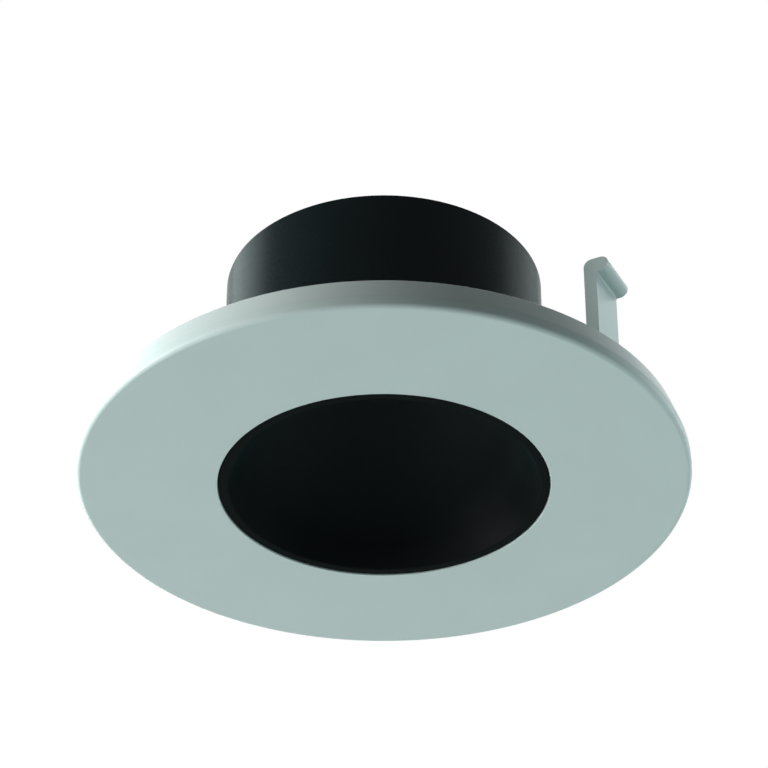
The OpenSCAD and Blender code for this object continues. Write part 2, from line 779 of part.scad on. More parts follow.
// A hook: blade with a rounded nose, and two knuckles with toes at its root
module hook(side) {
    toe_u = web_u + stop_gap;
    head_u = blade_in + nose_r;
    r = nose_fillet_r;
    color(ring_grey) at_hook(side) difference() {
        union() {
            across(-hook_w / 2, hook_w / 2) {
                translate([blade_in, blade_root]) square([hook_t, nose_z - blade_root]);
                translate([head_u, nose_z]) circle(r = nose_r);
                translate([nose_u, nose_z]) circle(r = nose_r);
                translate([head_u, nose_z - nose_r]) square([nose_u - head_u, 2 * nose_r]);
                difference() {
                    translate([blade_out - 0.1, nose_z - nose_r - r]) square(r + 0.1);
                    translate([blade_out + r, nose_z - nose_r - r]) circle(r = r);
                }
            }
            for (s = [-1, 1])
                across(s > 0 ? knuckle_gap / 2 : -hook_w / 2, s > 0 ? hook_w / 2 : -knuckle_gap / 2) {
                    translate([pivot_u, pivot_z]) circle(r = knuckle_r);
                    translate([blade_in, pivot_z]) square([hook_t, blade_root - pivot_z + 0.1]);
                    translate([pivot_u, pivot_z]) square([pivot_set + 0.1, knuckle_r]);
                    translate([toe_u, pivot_z - toe_drop]) square([pivot_u - toe_u, toe_h]);
                }
        }
        translate([pivot_u, 0, pivot_z]) rotate([90, 0, 0])
            cylinder(r = pin_r + run_gap, h = 2 * hook_w, center = true);
    }
}

trim_ring();
ceiling_gasket();
baffle();
glass_seal();
front_glass();
lens_spacer();
optic_lens();
lens_snap_ring();
lamp_housing();
housing_screws();
led_emitter();
led_board();
led_holder();
holder_screws();
thermal_pad();
led_leads();
terminal_block();
rear_cover();
rear_seal();
rear_screws();
gland_washer();
gland_body();
gland_seal();
gland_nut();
hook_bracket(0);  // hook_bracket_right
hook_bracket(1);  // hook_bracket_left
bracket_screws();
hook_pin(0);  // hook_pin_right
hook_pin(1);  // hook_pin_left
hook_spring(0);  // hook_spring_right
hook_spring(1);  // hook_spring_left
hook(0);  // hook_right
hook(1);  // hook_left
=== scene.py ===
import json
import math
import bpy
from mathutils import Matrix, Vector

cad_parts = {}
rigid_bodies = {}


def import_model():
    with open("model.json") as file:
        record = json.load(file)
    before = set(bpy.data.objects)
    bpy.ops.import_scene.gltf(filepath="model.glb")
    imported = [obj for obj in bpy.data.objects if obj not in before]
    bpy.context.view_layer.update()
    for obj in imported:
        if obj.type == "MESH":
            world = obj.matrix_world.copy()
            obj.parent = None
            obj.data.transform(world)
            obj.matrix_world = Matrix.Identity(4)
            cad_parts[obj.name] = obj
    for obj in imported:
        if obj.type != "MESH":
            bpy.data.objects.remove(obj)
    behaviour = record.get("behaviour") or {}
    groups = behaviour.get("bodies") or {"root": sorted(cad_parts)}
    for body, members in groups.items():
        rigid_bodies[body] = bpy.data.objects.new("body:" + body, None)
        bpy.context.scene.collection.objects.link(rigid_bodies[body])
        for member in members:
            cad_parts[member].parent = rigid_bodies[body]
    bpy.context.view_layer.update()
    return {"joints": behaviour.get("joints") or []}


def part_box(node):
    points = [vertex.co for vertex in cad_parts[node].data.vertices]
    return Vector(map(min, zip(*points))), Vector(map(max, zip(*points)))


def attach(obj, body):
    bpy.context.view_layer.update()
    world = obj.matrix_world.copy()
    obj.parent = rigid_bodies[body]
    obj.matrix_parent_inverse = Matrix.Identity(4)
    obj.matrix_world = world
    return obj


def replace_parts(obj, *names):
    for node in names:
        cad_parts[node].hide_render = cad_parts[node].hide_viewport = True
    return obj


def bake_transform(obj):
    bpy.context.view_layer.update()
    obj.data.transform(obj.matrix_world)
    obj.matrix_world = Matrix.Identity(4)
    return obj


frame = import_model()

from types import SimpleNamespace

import bmesh
import bpy
from bpy.props import FloatProperty, FloatVectorProperty, IntProperty, PointerProperty
from mathutils import Matrix, Vector

bl_info = {
    "name": "Recessed spotlight",
    "version": (1, 0, 0),
    "blender": (4, 5, 0),
    "location": "3D View > Sidebar > Spotlight",
    "description": "Builds the pieces, finishes and studio of a small recessed spotlight",
    "category": "Object",
}

MM = 0.001
SIDES = ("right", "left")
HINGES = [next(j for j in frame["joints"] if j["child"] == f"hook_{side}") for side in SIDES]


# Places and sizes that the frame gives, in millimetres

def low(node, axis):
    """Where a node begins along an axis."""
    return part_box(node)[0][axis] / MM


def high(node, axis):
    """Where a node ends along an axis."""
    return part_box(node)[1][axis] / MM


def heights(node):
    """Lowest and highest z of a node."""
    return low(node, 2), high(node, 2)


def radius(node):
    """Outside radius of a round upright node."""
    return (high(node, 0) - low(node, 0)) / 2


def on_circle(r, first, count):
    """Points spaced evenly round the light's axis."""
    turns = [first + math.tau * k / count for k in range(count)]
    return [(r * math.cos(a), r * math.sin(a)) for a in turns]


HOOK_ANGLE = math.atan2(HINGES[0]["pos_m"][1], HINGES[0]["pos_m"][0])
PIVOT_U = math.hypot(*HINGES[0]["pos_m"][:2]) / MM
PIVOT_Z = HINGES[0]["pos_m"][2] / MM
PLATE_Z = low("ceiling_gasket", 2)
SEAT_Z = low("lamp_housing", 2)
COVER_Z = low("rear_cover", 2)
NECK_Z = low("glass_seal", 2)
GLAND = (0.0, (low("gland_nut", 1) + high("gland_nut", 1)) / 2)
SHEET = 1.0                                              # the brackets' sheet
BASE_Z = low("hook_bracket_right", 2) + SHEET
TAB_BACK, TAB_FRONT, TAB_HALF = 30.4, 36.1, 10.25        # a bracket's base, in its hook's own plane
TAB_SCREW_U, TAB_SCREW_T = 33.25, 7.65                   # its two screws
BOSS_R = 3.15                                            # bosses and ears round the flange's screws
EDGE_WALL = 1.6                                          # the can's wall round the cover
INLET_R = 5.05                                           # the hole for the gland in the cover
GLAND_R, CABLE_R = 4.95, 2.75                            # the gland's thread and the cable's hole
CLAMP_X = 10.6                                           # the holder's two screws


# Sizes and colours that a user may change

def length(name, description, default):
    """A property for a length whose default is in millimetres."""
    return FloatProperty(name=name, description=description, default=default * MM, unit="LENGTH",
                         min=0.0, precision=5)


def colour(name, description, default):
    """A property for a colour, in linear red, green and blue."""
    return FloatVectorProperty(name=name, description=description, default=default, subtype="COLOR",
                               size=3, min=0.0, max=1.0)


class RingSizes(bpy.types.PropertyGroup):
    outer_r: length("Outer radius", "Outside radius of the trim ring", radius("trim_ring"))
    mouth_r: length("Mouth radius", "Radius of the round mouth", 24.4)
    depth: length("Depth", "From the front face to the ceiling", high("trim_ring", 2))
    band: length("Band", "Height of the upright band at the front of the rim", 1.8)
    draw: length("Draw", "How far the rim is drawn in behind the band", 1.27)
    rim: length("Rim", "Thickness of the rim", 3.0)
    edge_r: length("Front edge", "Radius of the rounded front edge", 0.7)
    collar_r: length("Collar radius", "Outside radius of the collar behind the mouth", 27.9)
    collar_w: length("Collar width", "Width of the collar behind the mouth", 1.6)


class BaffleSizes(bpy.types.PropertyGroup):
    lip_w: length("Lip width", "Width of the lip that shows inside the mouth", 1.4)
    lip_set: length("Lip set", "How far the lip lies behind the ring's face", 0.15)
    wall: length("Wall", "Thickness of the cone's wall", 1.2)
    neck_r: length("Neck radius", "Radius of the cone's narrow end", 11.8)
    shoulder_r: length("Shoulder radius", "Radius of the shoulder behind the ring", radius("baffle"))
    cup_wall: length("Cup wall", "Thickness of the cup that holds the optics", 1.1)


class HousingSizes(bpy.types.PropertyGroup):
    can_r: length("Can radius", "Outside radius of the can", 24.1)
    bore_r: length("Bore radius", "Radius of the can's bore", 21.6)
    foot_r: length("Foot radius", "Radius of the bore at the can's foot", 22.97)
    flange: length("Flange", "Thickness of the flange", 2.2)
    fillet: length("Fillet", "Radius between the flange and the can", 0.8)
    column_r: length("Column radius", "Radius of the columns that take the cover's screws", 2.3)
    cover_t: length("Cover plate", "Thickness of the rear cover's plate", 2.2)
    fin_t: length("Fin thickness", "Thickness of a cooling fin", 1.4)
    fin_pitch: length("Fin pitch", "Distance from one fin to the next", 4.2)
    fin_zone_r: length("Fin zone", "Radius of the circle that the fins fill", 17.15)


class HookSizes(bpy.types.PropertyGroup):
    width: length("Width", "Width of a hook", 7.5)
    blade: length("Blade", "Thickness of a hook's blade", 1.95)
    nose: length("Nose", "Reach of the nose past the blade", 1.9)
    nose_r: length("Nose radius", "Radius of the nose", 1.25)
    sheet: length("Sheet", "Thickness of the bracket's sheet", SHEET)
    pin_r: length("Pin radius", "Radius of the hinge pin", 1.25)
    wire_r: length("Wire radius", "Radius of the spring's wire", 0.25)
    coil_r: length("Coil radius", "Mean radius of the spring's coil", 1.75)
    pitch: length("Coil pitch", "Distance from one turn to the next", 0.95)
    turns: IntProperty(name="Turns", description="Whole turns in the spring's coil", default=3, min=1)


class Colours(bpy.types.PropertyGroup):
    ring: colour("Ring paint", "Pale grey-green satin paint", (0.355, 0.462, 0.450))
    black: colour("Black", "Black of the can and the cover", (0.0018, 0.0046, 0.0052))
    baffle: colour("Baffle", "Black of the baffle", (0.0042, 0.0056, 0.0060))
    zinc: colour("Zinc", "Zinc-plated steel", (0.44, 0.45, 0.46))
    rubber: colour("Rubber", "Black rubber", (0.012, 0.012, 0.013))
    emitter: colour("Emitter", "Yellow emitting disc", (0.86, 0.60, 0.08))


class StageSettings(bpy.types.PropertyGroup):
    floor_z: FloatProperty(name="Floor", description="Height of the floor", default=-0.55, unit="LENGTH")
    ambient: FloatProperty(name="Ambient", description="Even light from all round", default=0.03, min=0.0)
    lens: FloatProperty(name="Lens", description="Focal length of the camera, in millimetres",
                        default=134.06, min=1.0)
    pitch: FloatProperty(name="Pitch", description="How far the camera looks up",
                         default=math.radians(34.983), subtype="ANGLE")
    place: FloatVectorProperty(name="Camera", description="Where the camera stands", subtype="TRANSLATION",
                               unit="LENGTH", default=(0.0, -0.35203, -0.22752), precision=5)


GROUPS = {"spot_ring": RingSizes, "spot_baffle": BaffleSizes, "spot_housing": HousingSizes,
          "spot_hook": HookSizes, "spot_colours": Colours, "spot_stage": StageSettings}


def sizes(group_name):
    """The values of a group of properties, with its lengths in millimetres."""
    group = getattr(bpy.context.scene, group_name)
    values = {}
    for name in GROUPS[group_name].__annotations__:
        value = getattr(group, name)
        values[name] = value / MM if group.bl_rna.properties[name].unit == "LENGTH" else value
    return SimpleNamespace(**values)


# Mesh tools: pieces are drawn in millimetres and scaled to metres when they are placed

def bevel(bm, geom, width, segments=2, affect="EDGES"):
    """Rounds edges or corners."""
    bmesh.ops.bevel(bm, geom=geom, offset=width, offset_type="OFFSET", affect=affect, segments=segments,
                    profile=0.5, material=-1, clamp_overlap=affect == "EDGES")


def soften(bm, width, sharper=30, segments=2):
    """Rounds every edge that is sharper than an angle in degrees."""
    limit = math.radians(sharper)
    bevel(bm, [e for e in bm.edges if e.is_manifold and e.calc_face_angle(0) > limit], width, segments)
    return bm


def turned(outline, steps=144, on_axis=False):
    """A solid turned about Z from corners of r and z, with a width and steps where one is rounded.
    An outline that starts and ends on the axis is left open there."""
    bm = bmesh.new()
    points = [bm.verts.new((corner[0], 0, corner[1])) for corner in outline]
    pairs = list(zip(points, points[1:])) + ([] if on_axis else [(points[-1], points[0])])
    edges = [bm.edges.new(pair) for pair in pairs]
    bmesh.ops.spin(bm, geom=points + edges, cent=(0, 0, 0), axis=(0, 0, 1), dvec=(0, 0, 0),
                   angle=math.tau, steps=steps, use_merge=True, use_duplicate=False)
    bmesh.ops.remove_doubles(bm, verts=bm.verts, dist=1e-4)
    bmesh.ops.dissolve_degenerate(bm, edges=bm.edges, dist=1e-4)
    bmesh.ops.recalc_face_normals(bm, faces=bm.faces)
    for r, z, width, segments in (corner for corner in outline if len(corner) == 4):
        hoop = [e for e in bm.edges
                if all(abs(v.co.xy.length - r) < 1e-3 and abs(v.co.z - z) < 1e-3 for v in e.verts)]
        bevel(bm, hoop, width, segments)
    return bm


def ring_of(r0, r1, z0, z1, soft=0.1, steps=128, at=(0, 0)):
    """A flat ring with softened edges."""
    corners = [(r0, z0), (r1, z0), (r1, z1), (r0, z1)]
    return moved(turned([(*c, soft, 3) for c in corners], steps), at)


def block(lo, hi, soft=0.0, segments=2, corner=0.0):
    """A box from corner to corner with softened edges, its upright edges rounded more if asked."""
    bm = bmesh.new()
    bmesh.ops.create_cube(bm, size=1.0)
    bmesh.ops.scale(bm, vec=Vector(hi) - Vector(lo), verts=bm.verts)
    bmesh.ops.translate(bm, vec=(Vector(lo) + Vector(hi)) / 2, verts=bm.verts)
    if corner:
        lying = level(bm)
        bevel(bm, [e for e in bm.edges if e not in lying], corner, 8)
    return soften(bm, soft, 40, segments) if soft else bm


def drum(r, z0, z1, soft=0.0, steps=48, at=(0, 0), r_top=None):
    """An upright cylinder with softened ends, or a cone, or a prism when it has few steps."""
    bm = bmesh.new()
    bmesh.ops.create_cone(bm, cap_ends=True, segments=steps, radius1=r,
                          radius2=r if r_top is None else r_top, depth=z1 - z0)
    bmesh.ops.translate(bm, vec=(*at, (z0 + z1) / 2), verts=bm.verts)
    if soft:
        bevel(bm, level(bm), soft)
    return bm


def only(geom, kind):
    """Those of some corners, edges and faces that are of one kind."""
    return [g for g in geom if isinstance(g, kind)]


def level(bm):
    """The edges that lie level."""
    return [e for e in bm.edges if abs(e.verts[0].co.z - e.verts[1].co.z) < 1e-4]


def plate(outline, t0, t1):
    """A solid from y = t0 to y = t1 with corners of x and z, and a width where one is rounded."""
    bm = bmesh.new()
    bm.faces.new([bm.verts.new((corner[0], t0, corner[1])) for corner in outline])
    for x, z, width in (corner for corner in outline if len(corner) == 3):
        nearest = min(bm.verts, key=lambda v: (v.co - Vector((x, t0, z))).length)
        bevel(bm, [nearest], width, 10, affect="VERTICES")
    made = bmesh.ops.extrude_face_region(bm, geom=bm.faces[:])["geom"]
    bmesh.ops.translate(bm, vec=(0, t1 - t0, 0), verts=only(made, bmesh.types.BMVert))
    bmesh.ops.recalc_face_normals(bm, faces=bm.faces)
    return bm


def rod(r, start, moves, sides=12, tip_soft=0.0):
    """A round rod that runs straight by a vector, or round a bend: (centre, axis, angle, steps, rise)."""
    bm = bmesh.new()
    bmesh.ops.create_circle(bm, cap_ends=True, radius=r, segments=sides)
    facing = Vector(moves[0]).to_track_quat("Z", "Y").to_matrix().to_4x4()
    bmesh.ops.transform(bm, matrix=Matrix.Translation(start) @ facing, verts=bm.verts)
    tip = bm.faces[:]
    for move in moves:
        geom = tip + list({e for f in tip for e in f.edges}) + list({v for f in tip for v in f.verts})
        if len(move) == 3:
            made = bmesh.ops.extrude_face_region(bm, geom=tip)["geom"]
            bmesh.ops.translate(bm, vec=move, verts=only(made, bmesh.types.BMVert))
        else:
            centre, axis, angle, steps, rise = move
            made = bmesh.ops.spin(bm, geom=geom, cent=centre, axis=axis, dvec=Vector(rise) / steps,
                                  angle=angle, steps=steps, use_merge=False)["geom_last"]
        tip = only(made, bmesh.types.BMFace)
    inside = [f for f in bm.faces if all(len(e.link_faces) > 2 for e in f.edges)]
    bmesh.ops.delete(bm, geom=inside, context="FACES_ONLY")
    bmesh.ops.recalc_face_normals(bm, faces=bm.faces)
    if tip_soft:
        caps = [f for f in bm.faces if len(f.verts) == sides]
        bevel(bm, [e for f in caps for e in f.edges], tip_soft)
    return bm


def thread(r, pitch, z0, z1, height, steps=20):
    """A screw thread: a ridge that winds up a shank of radius r."""
    bm = bmesh.new()
    half = pitch * 0.32
    corners = [(r - 0.05, 0, z0 - half), (r + height, 0, z0), (r - 0.05, 0, z0 + half)]
    face = bm.faces.new([bm.verts.new(c) for c in corners])
    count = max(4, int((z1 - z0) / pitch * steps))
    bmesh.ops.spin(bm, geom=[face] + face.edges[:] + face.verts[:], cent=(0, 0, 0), axis=(0, 0, 1),
                   dvec=(0, 0, (z1 - z0) / count), angle=math.tau * (z1 - z0) / pitch, steps=count,
                   use_merge=False, use_duplicate=False)
    bmesh.ops.recalc_face_normals(bm, faces=bm.faces)
    return bm


def turn_to(bm, matrix):
    """The shape, carried by a matrix."""
    bmesh.ops.transform(bm, matrix=matrix, verts=bm.verts)
    return bm


def moved(bm, at):
    """The shape, moved across the light's axis."""
    return turn_to(bm, Matrix.Translation((*at, 0)))


def along_pin(bm):
    """A shape drawn along Z, laid along a hinge pin in a hook's own plane."""
    return turn_to(bm, Matrix.Translation((PIVOT_U, 0, PIVOT_Z)) @ Matrix.Rotation(-math.pi / 2, 4, "X"))


def hook_matrix(side):
    """From a hook's own plane, where X points outwards and Y runs along its pin, to the frame."""
    x, y = HINGES[side]["pos_m"][:2]
    return Matrix.Rotation(math.atan2(y, x), 4, "Z")


def gathered(*parts):
    """Several shapes in one mesh."""
    whole = bmesh.new()
    for part in parts:
        mesh = bpy.data.meshes.new("part")
        part.to_mesh(mesh)
        part.free()
        whole.from_mesh(mesh)
        bpy.data.meshes.remove(mesh)
    return whole


def sorted_out(bm):
    """Puts corners, edges and faces in an order that is the same in every run."""
    slant = Vector((0.7548, 0.5698, 0.3247))
    bm.verts.sort(key=lambda v: v.co.dot(slant))
    bm.edges.sort(key=lambda e: (e.verts[0].co + e.verts[1].co).dot(slant))
    bm.faces.sort(key=lambda f: f.calc_center_median().dot(slant))
    for elements in (bm.verts, bm.edges, bm.faces):
        elements.index_update()


def combined(base, *others, how="UNION"):
    """Shapes fused to the first one, cut from it or kept where they meet it."""
    host = linked("host", base)
    for other in others:
        tool = linked("tool", other)
        change = host.modifiers.new("join", "BOOLEAN")
        change.operation, change.solver, change.object = how, "EXACT", tool
        bpy.context.view_layer.update()
        done = bpy.data.meshes.new_from_object(host.evaluated_get(bpy.context.evaluated_depsgraph_get()))
        host.modifiers.clear()
        host.data = done
        bpy.data.objects.remove(tool)
    bm = bmesh.new()
    bm.from_mesh(host.data)
    bpy.data.objects.remove(host)
    if not bm.faces:
        raise RuntimeError("nothing is left of a shape")
    sorted_out(bm)
    bmesh.ops.remove_doubles(bm, verts=bm.verts, dist=1e-4)
    bmesh.ops.dissolve_degenerate(bm, edges=bm.edges, dist=1e-4)
    return bm


def cut(base, *tools):
    """The first shape less the others."""
    return combined(base, *tools, how="DIFFERENCE")


def merged(bm):
    """The shape with its flat faces merged."""
    bmesh.ops.dissolve_limit(bm, angle_limit=math.radians(1), verts=bm.verts, edges=bm.edges)
    return bm


def linked(name, bm):
    """A shape as an object of the scene."""
    mesh = bpy.data.meshes.new(name)
    bm.to_mesh(mesh)
    bm.free()
    obj = bpy.data.objects.new(name, mesh)
    bpy.context.scene.collection.objects.link(obj)
    return obj


def shaded(name, bm):
    """A shape in metres as a new object, shaded smooth but for its sharp edges."""
    for old in [o for o in bpy.data.objects if o.name == name]:
        bpy.data.objects.remove(old)
    bmesh.ops.scale(bm, vec=(MM, MM, MM), verts=bm.verts)
    for face in bm.faces:
        face.smooth = True
    for edge in bm.edges:
        edge.smooth = edge.calc_face_angle(0) < math.radians(35)
    return linked(name, bm)


def place(name, bm, slot, *replaced, body="root", finish=None):
    """A finished piece, evenly shaded, that rides on a body and stands for CAD nodes."""
    obj = shaded(name, bm)
    obj.data.materials.append(finish_of(finish or slot))
    even = obj.modifiers.new("even_shading", "WEIGHTED_NORMAL")
    even.keep_sharp = True
    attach(obj, body)
    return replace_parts(obj, *replaced)


def place_pair(name, bm, slot, part, body="root"):
    """A shape drawn in a hook's own plane, placed once for each hook. A star stands for the side."""
    for side, word in enumerate(SIDES):
        shape = turn_to(bm.copy(), hook_matrix(side))
        place(name.replace("*", word), shape, slot, part.replace("*", word), body=body.replace("*", word))
    bm.free()


def flat_ring(name, slot, part, inner_r, soft, steps=128, at=(0, 0)):
    """A flat ring that fills a node's box down to an inside radius."""
    place(name, ring_of(inner_r, radius(part), *heights(part), soft, steps, at), slot, part)


# Finishes

def feed(socket, value):
    """Sets an input to a value, or joins it to an output."""
    if isinstance(value, bpy.types.NodeSocket):
        socket.id_data.links.new(value, socket)
    else:
        socket.default_value = value


def node(tree, kind, output, **inputs):
    """The output of a new node whose inputs are set or joined."""
    made = tree.nodes.new(kind)
    for name, value in inputs.items():
        feed(made.inputs[name.replace("_", " ")], value)
    return made.outputs[output]


def shader(name, base, roughness, metallic=0.0, **inputs):
    """A new material with its plain values set on the shader's own sockets."""
    material = bpy.data.materials.new(name)
    material.use_nodes = True
    principled = material.node_tree.nodes["Principled BSDF"]
    principled.inputs["Base Color"].default_value = (*base, 1)
    for socket, value in dict(Roughness=roughness, Metallic=metallic, **inputs).items():
        principled.inputs[socket.replace("_", " ")].default_value = value
    return material, material.node_tree, principled


def coords(tree, stretch=(1, 1, 1)):
    """Object coordinates, stretched."""
    source = node(tree, "ShaderNodeTexCoord", "Object")
    return node(tree, "ShaderNodeMapping", "Vector", Vector=source, Scale=stretch)


def noise(vector, scale, detail=3.0, rough=0.5):
    """Cloudy noise, about 0.3 to 0.7."""
    return node(vector.id_data, "ShaderNodeTexNoise", "Fac", Vector=vector, Scale=scale, Detail=detail,
                Roughness=rough)


def cells(vector, scale):
    """Distance from the middle of the nearest cell."""
    return node(vector.id_data, "ShaderNodeTexVoronoi", "Distance", Vector=vector, Scale=scale)


def spread(value, lo, hi, from_lo=0.3, from_hi=0.7):
    """A texture's value carried from one range to another."""
    return node(value.id_data, "ShaderNodeMapRange", "Result", Value=value, From_Min=from_lo,
                From_Max=from_hi, To_Min=lo, To_Max=hi)


def between(value, first, second):
    """A colour that runs from one to another with a texture's value. Each is a colour or a socket."""
    mix = value.id_data.nodes.new("ShaderNodeMix")
    mix.data_type = "RGBA"
    feed(mix.inputs[0], value)
    for end, shade in zip([s for s in mix.inputs if s.type == "RGBA"], (first, second)):
        feed(end, shade if isinstance(shade, bpy.types.NodeSocket) else (*shade, 1))
    return next(s for s in mix.outputs if s.type == "RGBA")


def worn(principled, value, base, tones, gloss):
    """A colour that runs between two tones of its base with a texture's value, and an uneven gloss."""
    feed(principled.inputs["Base Color"], between(value, *(tone(base, t) for t in tones)))
    feed(principled.inputs["Roughness"], gloss)


def relief(principled, value, depth, strength=0.5, below=None):
    """Relief, its depth in millimetres, from a texture's value, over another relief if there is one."""
    under = {} if below is None else {"Normal": below}
    skin = node(value.id_data, "ShaderNodeBump", "Normal", Height=value, Strength=strength,
                Distance=depth * MM, **under)
    feed(principled.inputs["Normal"], skin)
    return skin


def tone(base, factor):
    """A colour made lighter or darker."""
    return tuple(min(1.0, c * factor) for c in base)


def satin_paint(name, base, roughness=0.42):
    """Powder paint: fine orange peel, slightly uneven tone and gloss, and a pale bloom at a slant."""
    material, tree, shade = shader(name, base, roughness, Specular_IOR_Level=0.2, Sheen_Weight=0.4,
                                   Sheen_Roughness=0.4)
    at = coords(tree)
    cloud = spread(noise(at, 70, 2), 0, 1)
    grain = noise(at, 2600, 2)
    gloss = spread(grain, roughness - 0.05, roughness + 0.05)
    worn(shade, cloud, base, (0.985, 1.015), gloss)
    peel = relief(shade, noise(at, 900, 1), 0.004)
    relief(shade, grain, 0.002, below=peel)
    return material


def black_finish(name, base, roughness, lines=0.0, coat=0.4, painted_lift=None):
    """Black anodising or matt moulding under a thin clear skin that shines only at a slant, with fine lathe
    rings of a depth where they are asked for. Painted_lift is how much paler the colour is painted far
    behind the ring: painted light on the shaded inside of the cone."""
    material, tree, shade = shader(name, base, roughness, Specular_IOR_Level=0.0, Coat_Weight=coat,
                                   Coat_IOR=1.2, Coat_Roughness=roughness, Sheen_Weight=coat / 4.5,
                                   Sheen_Roughness=0.35, Sheen_Tint=(0.3, 1.0, 1.0, 1.0))
    at = coords(tree)
    cloud = spread(noise(at, 90, 2), 0, 1)
    grain = noise(at, 2200, 2)
    black = between(cloud, tone(base, 0.85), tone(base, 1.15))
    # painted light: the colour grows paler from 4 mm to 22 mm behind the ring, lifting the cone's shaded
    # inside
    if painted_lift:
        height = node(tree, "ShaderNodeSeparateXYZ", "Z", Vector=at)
        rise = spread(height, 0, 1, 4 * MM, 22 * MM)
        black = between(rise, black, tone(base, painted_lift))
    feed(shade.inputs["Base Color"], black)
    gloss = spread(grain, roughness - 0.05, roughness + 0.05)
    feed(shade.inputs["Coat Roughness"], gloss)
    skin = relief(shade, grain, 0.002)
    if lines:
        rings = noise(coords(tree, (0.02, 0.02, 1)), 4000, 1)
        skin = relief(shade, rings, lines, below=skin)
    feed(shade.inputs["Coat Normal"], skin)
    return material


def plated_steel(name, base, roughness=0.34):
    """Zinc plating: soft spangle, fine rolling marks and uneven gloss."""
    material, tree, shade = shader(name, base, roughness, metallic=1.0)
    at = coords(tree)
    spangle = spread(cells(at, 700), 0, 1, 0, 0.8)
    marks = noise(coords(tree, (1, 4, 1)), 900, 2)
    gloss = spread(marks, roughness - 0.04, roughness + 0.1)
    worn(shade, spangle, base, (0.92, 1.08), gloss)
    relief(shade, noise(at, 1600, 2), 0.001, 0.3)
    return material


def moulded(name, base, roughness=0.75, dust=1.5):
    """Moulded rubber or plastic with a fine grain and a trace of dust."""
    material, tree, shade = shader(name, base, roughness, Specular_IOR_Level=0.3)
    at = coords(tree)
    grain = noise(at, 3200, 3, 0.6)
    specks = spread(noise(at, 300, 4, 0.7), 0, 1)
    gloss = spread(grain, roughness - 0.1, roughness + 0.08)
    worn(shade, specks, base, (0.85, dust), gloss)
    relief(shade, grain, 0.006, 0.6)
    return material


def foam(name, base):
    """Closed-cell foam with open cells at its cut faces, their hollows painted darker than the cell walls
    as painted shade.
    """
    material, tree, shade = shader(name, base, 0.95, Specular_IOR_Level=0.1)
    pores = cells(coords(tree), 1500)
    wall = spread(pores, 1, 0, 0, 0.6)
    # painted shade: the tone runs from 1.8 on the cell walls down to 0.5 in the middle of each open cell
    worn(shade, wall, base, (1.8, 0.5), spread(pores, 0.85, 1.0, 0, 0.6))
    relief(shade, pores, 0.12, 0.8)
    return material


def clear(name, tint, roughness=0.02, ior=1.5):
    """Clear glass or acrylic with a trace of polishing marks."""
    material, tree, shade = shader(name, tint, roughness, Transmission_Weight=1.0, IOR=ior)
    marks = noise(coords(tree, (1, 3, 1)), 700, 2)
    gloss = spread(marks, roughness, roughness + 0.03)
    worn(shade, spread(marks, 0, 1), tint, (0.98, 1.0), gloss)
    relief(shade, marks, 0.0008, 0.3)
    return material


def emitter_gel(name, base):
    """Phosphor gel: a matt skin full of tiny grains."""
    material, tree, shade = shader(name, base, 0.55)
    at = coords(tree)
    grains = cells(at, 4500)
    gloss = spread(noise(at, 1500), 0.5, 0.62)
    worn(shade, spread(grains, 0, 1, 0, 0.7), base, (1.08, 0.82), gloss)
    relief(shade, grains, 0.01)
    return material


def seen_rays(tree):
    """One for rays from the camera, off gloss and through glass, and nought for others."""
    rays = tree.nodes.new("ShaderNodeLightPath")
    seen = rays.outputs["Is Camera Ray"]
    for kind in ("Is Glossy Ray", "Is Transmission Ray"):
        either = tree.nodes.new("ShaderNodeMath")
        either.operation = "MAXIMUM"
        for socket, value in zip(either.inputs, (seen, rays.outputs[kind])):
            feed(socket, value)
        seen = either.outputs[0]
    return seen


def pale_floor():
    """The floor's pale matt paint. It shows paler than the light that it throws back on the object."""
    material, tree, shade = shader("pale_floor", (0.35, 0.35, 0.35), 0.8, Specular_IOR_Level=0.1)
    cloud = spread(noise(coords(tree), 3, 2), 0, 1)
    feed(shade.inputs["Base Color"], between(cloud, (0.34, 0.34, 0.34), (0.36, 0.36, 0.36)))
    feed(shade.inputs["Emission Color"], (1, 1, 1, 1))
    feed(shade.inputs["Emission Strength"], spread(seen_rays(tree), 0, 0.7, 0, 1))
    return material


FINISHES = {
    "ring_paint": lambda c: satin_paint("satin_grey_paint", c.ring),
    # painted light: the hooks wear the ring's paint made 12% paler, so that they read as more brightly lit
    "hook_paint": lambda c: satin_paint("hook_grey_paint", tone(c.ring, 1.12), 0.4),
    # the last value, 4.5, paints the inside of the baffle paler deep in the cone: painted light
    "baffle_black": lambda c: black_finish("baffle_black_matt", c.baffle, 0.42, 0.002, 0.12, 4.5),
    "can_black": lambda c: black_finish("can_black_anodised", c.black, 0.3),
    "cover_black": lambda c: black_finish("cover_black_anodised", tone(c.black, 2), 0.5),
    "rubber_black": lambda c: moulded("seal_rubber", c.rubber, 0.7),
    "gasket_foam": lambda c: foam("gasket_foam", (0.02, 0.02, 0.021)),
    "clear_glass": lambda c: clear("clear_glass", (0.96, 0.985, 0.975)),
    "clear_lens": lambda c: clear("clear_acrylic", (0.985, 0.985, 0.98), 0.03, 1.49),
    "zinc_steel": lambda c: plated_steel("zinc_plated_steel", c.zinc),
    "spring_steel": lambda c: plated_steel("spring_wire", tone(c.zinc, 0.8), 0.22),
    "white_plastic": lambda c: moulded("white_plastic", (0.78, 0.78, 0.75), 0.5, 1.03),
    "board_white": lambda c: moulded("board_white_mask", (0.80, 0.81, 0.80), 0.35, 1.03),
    "phosphor": lambda c: emitter_gel("phosphor_gel", c.emitter),
    "pad_grey": lambda c: moulded("thermal_pad_grey", (0.26, 0.30, 0.36), 0.85, 1.15),
    "lead_sleeve": lambda c: moulded("red_lead_sleeve", (0.30, 0.018, 0.012), 0.45, 1.1),
    "lead_sleeve_dark": lambda c: moulded("black_lead_sleeve", (0.012, 0.012, 0.012), 0.45),
    "gland_black": lambda c: moulded("gland_nylon", (0.014, 0.014, 0.015), 0.5),
}


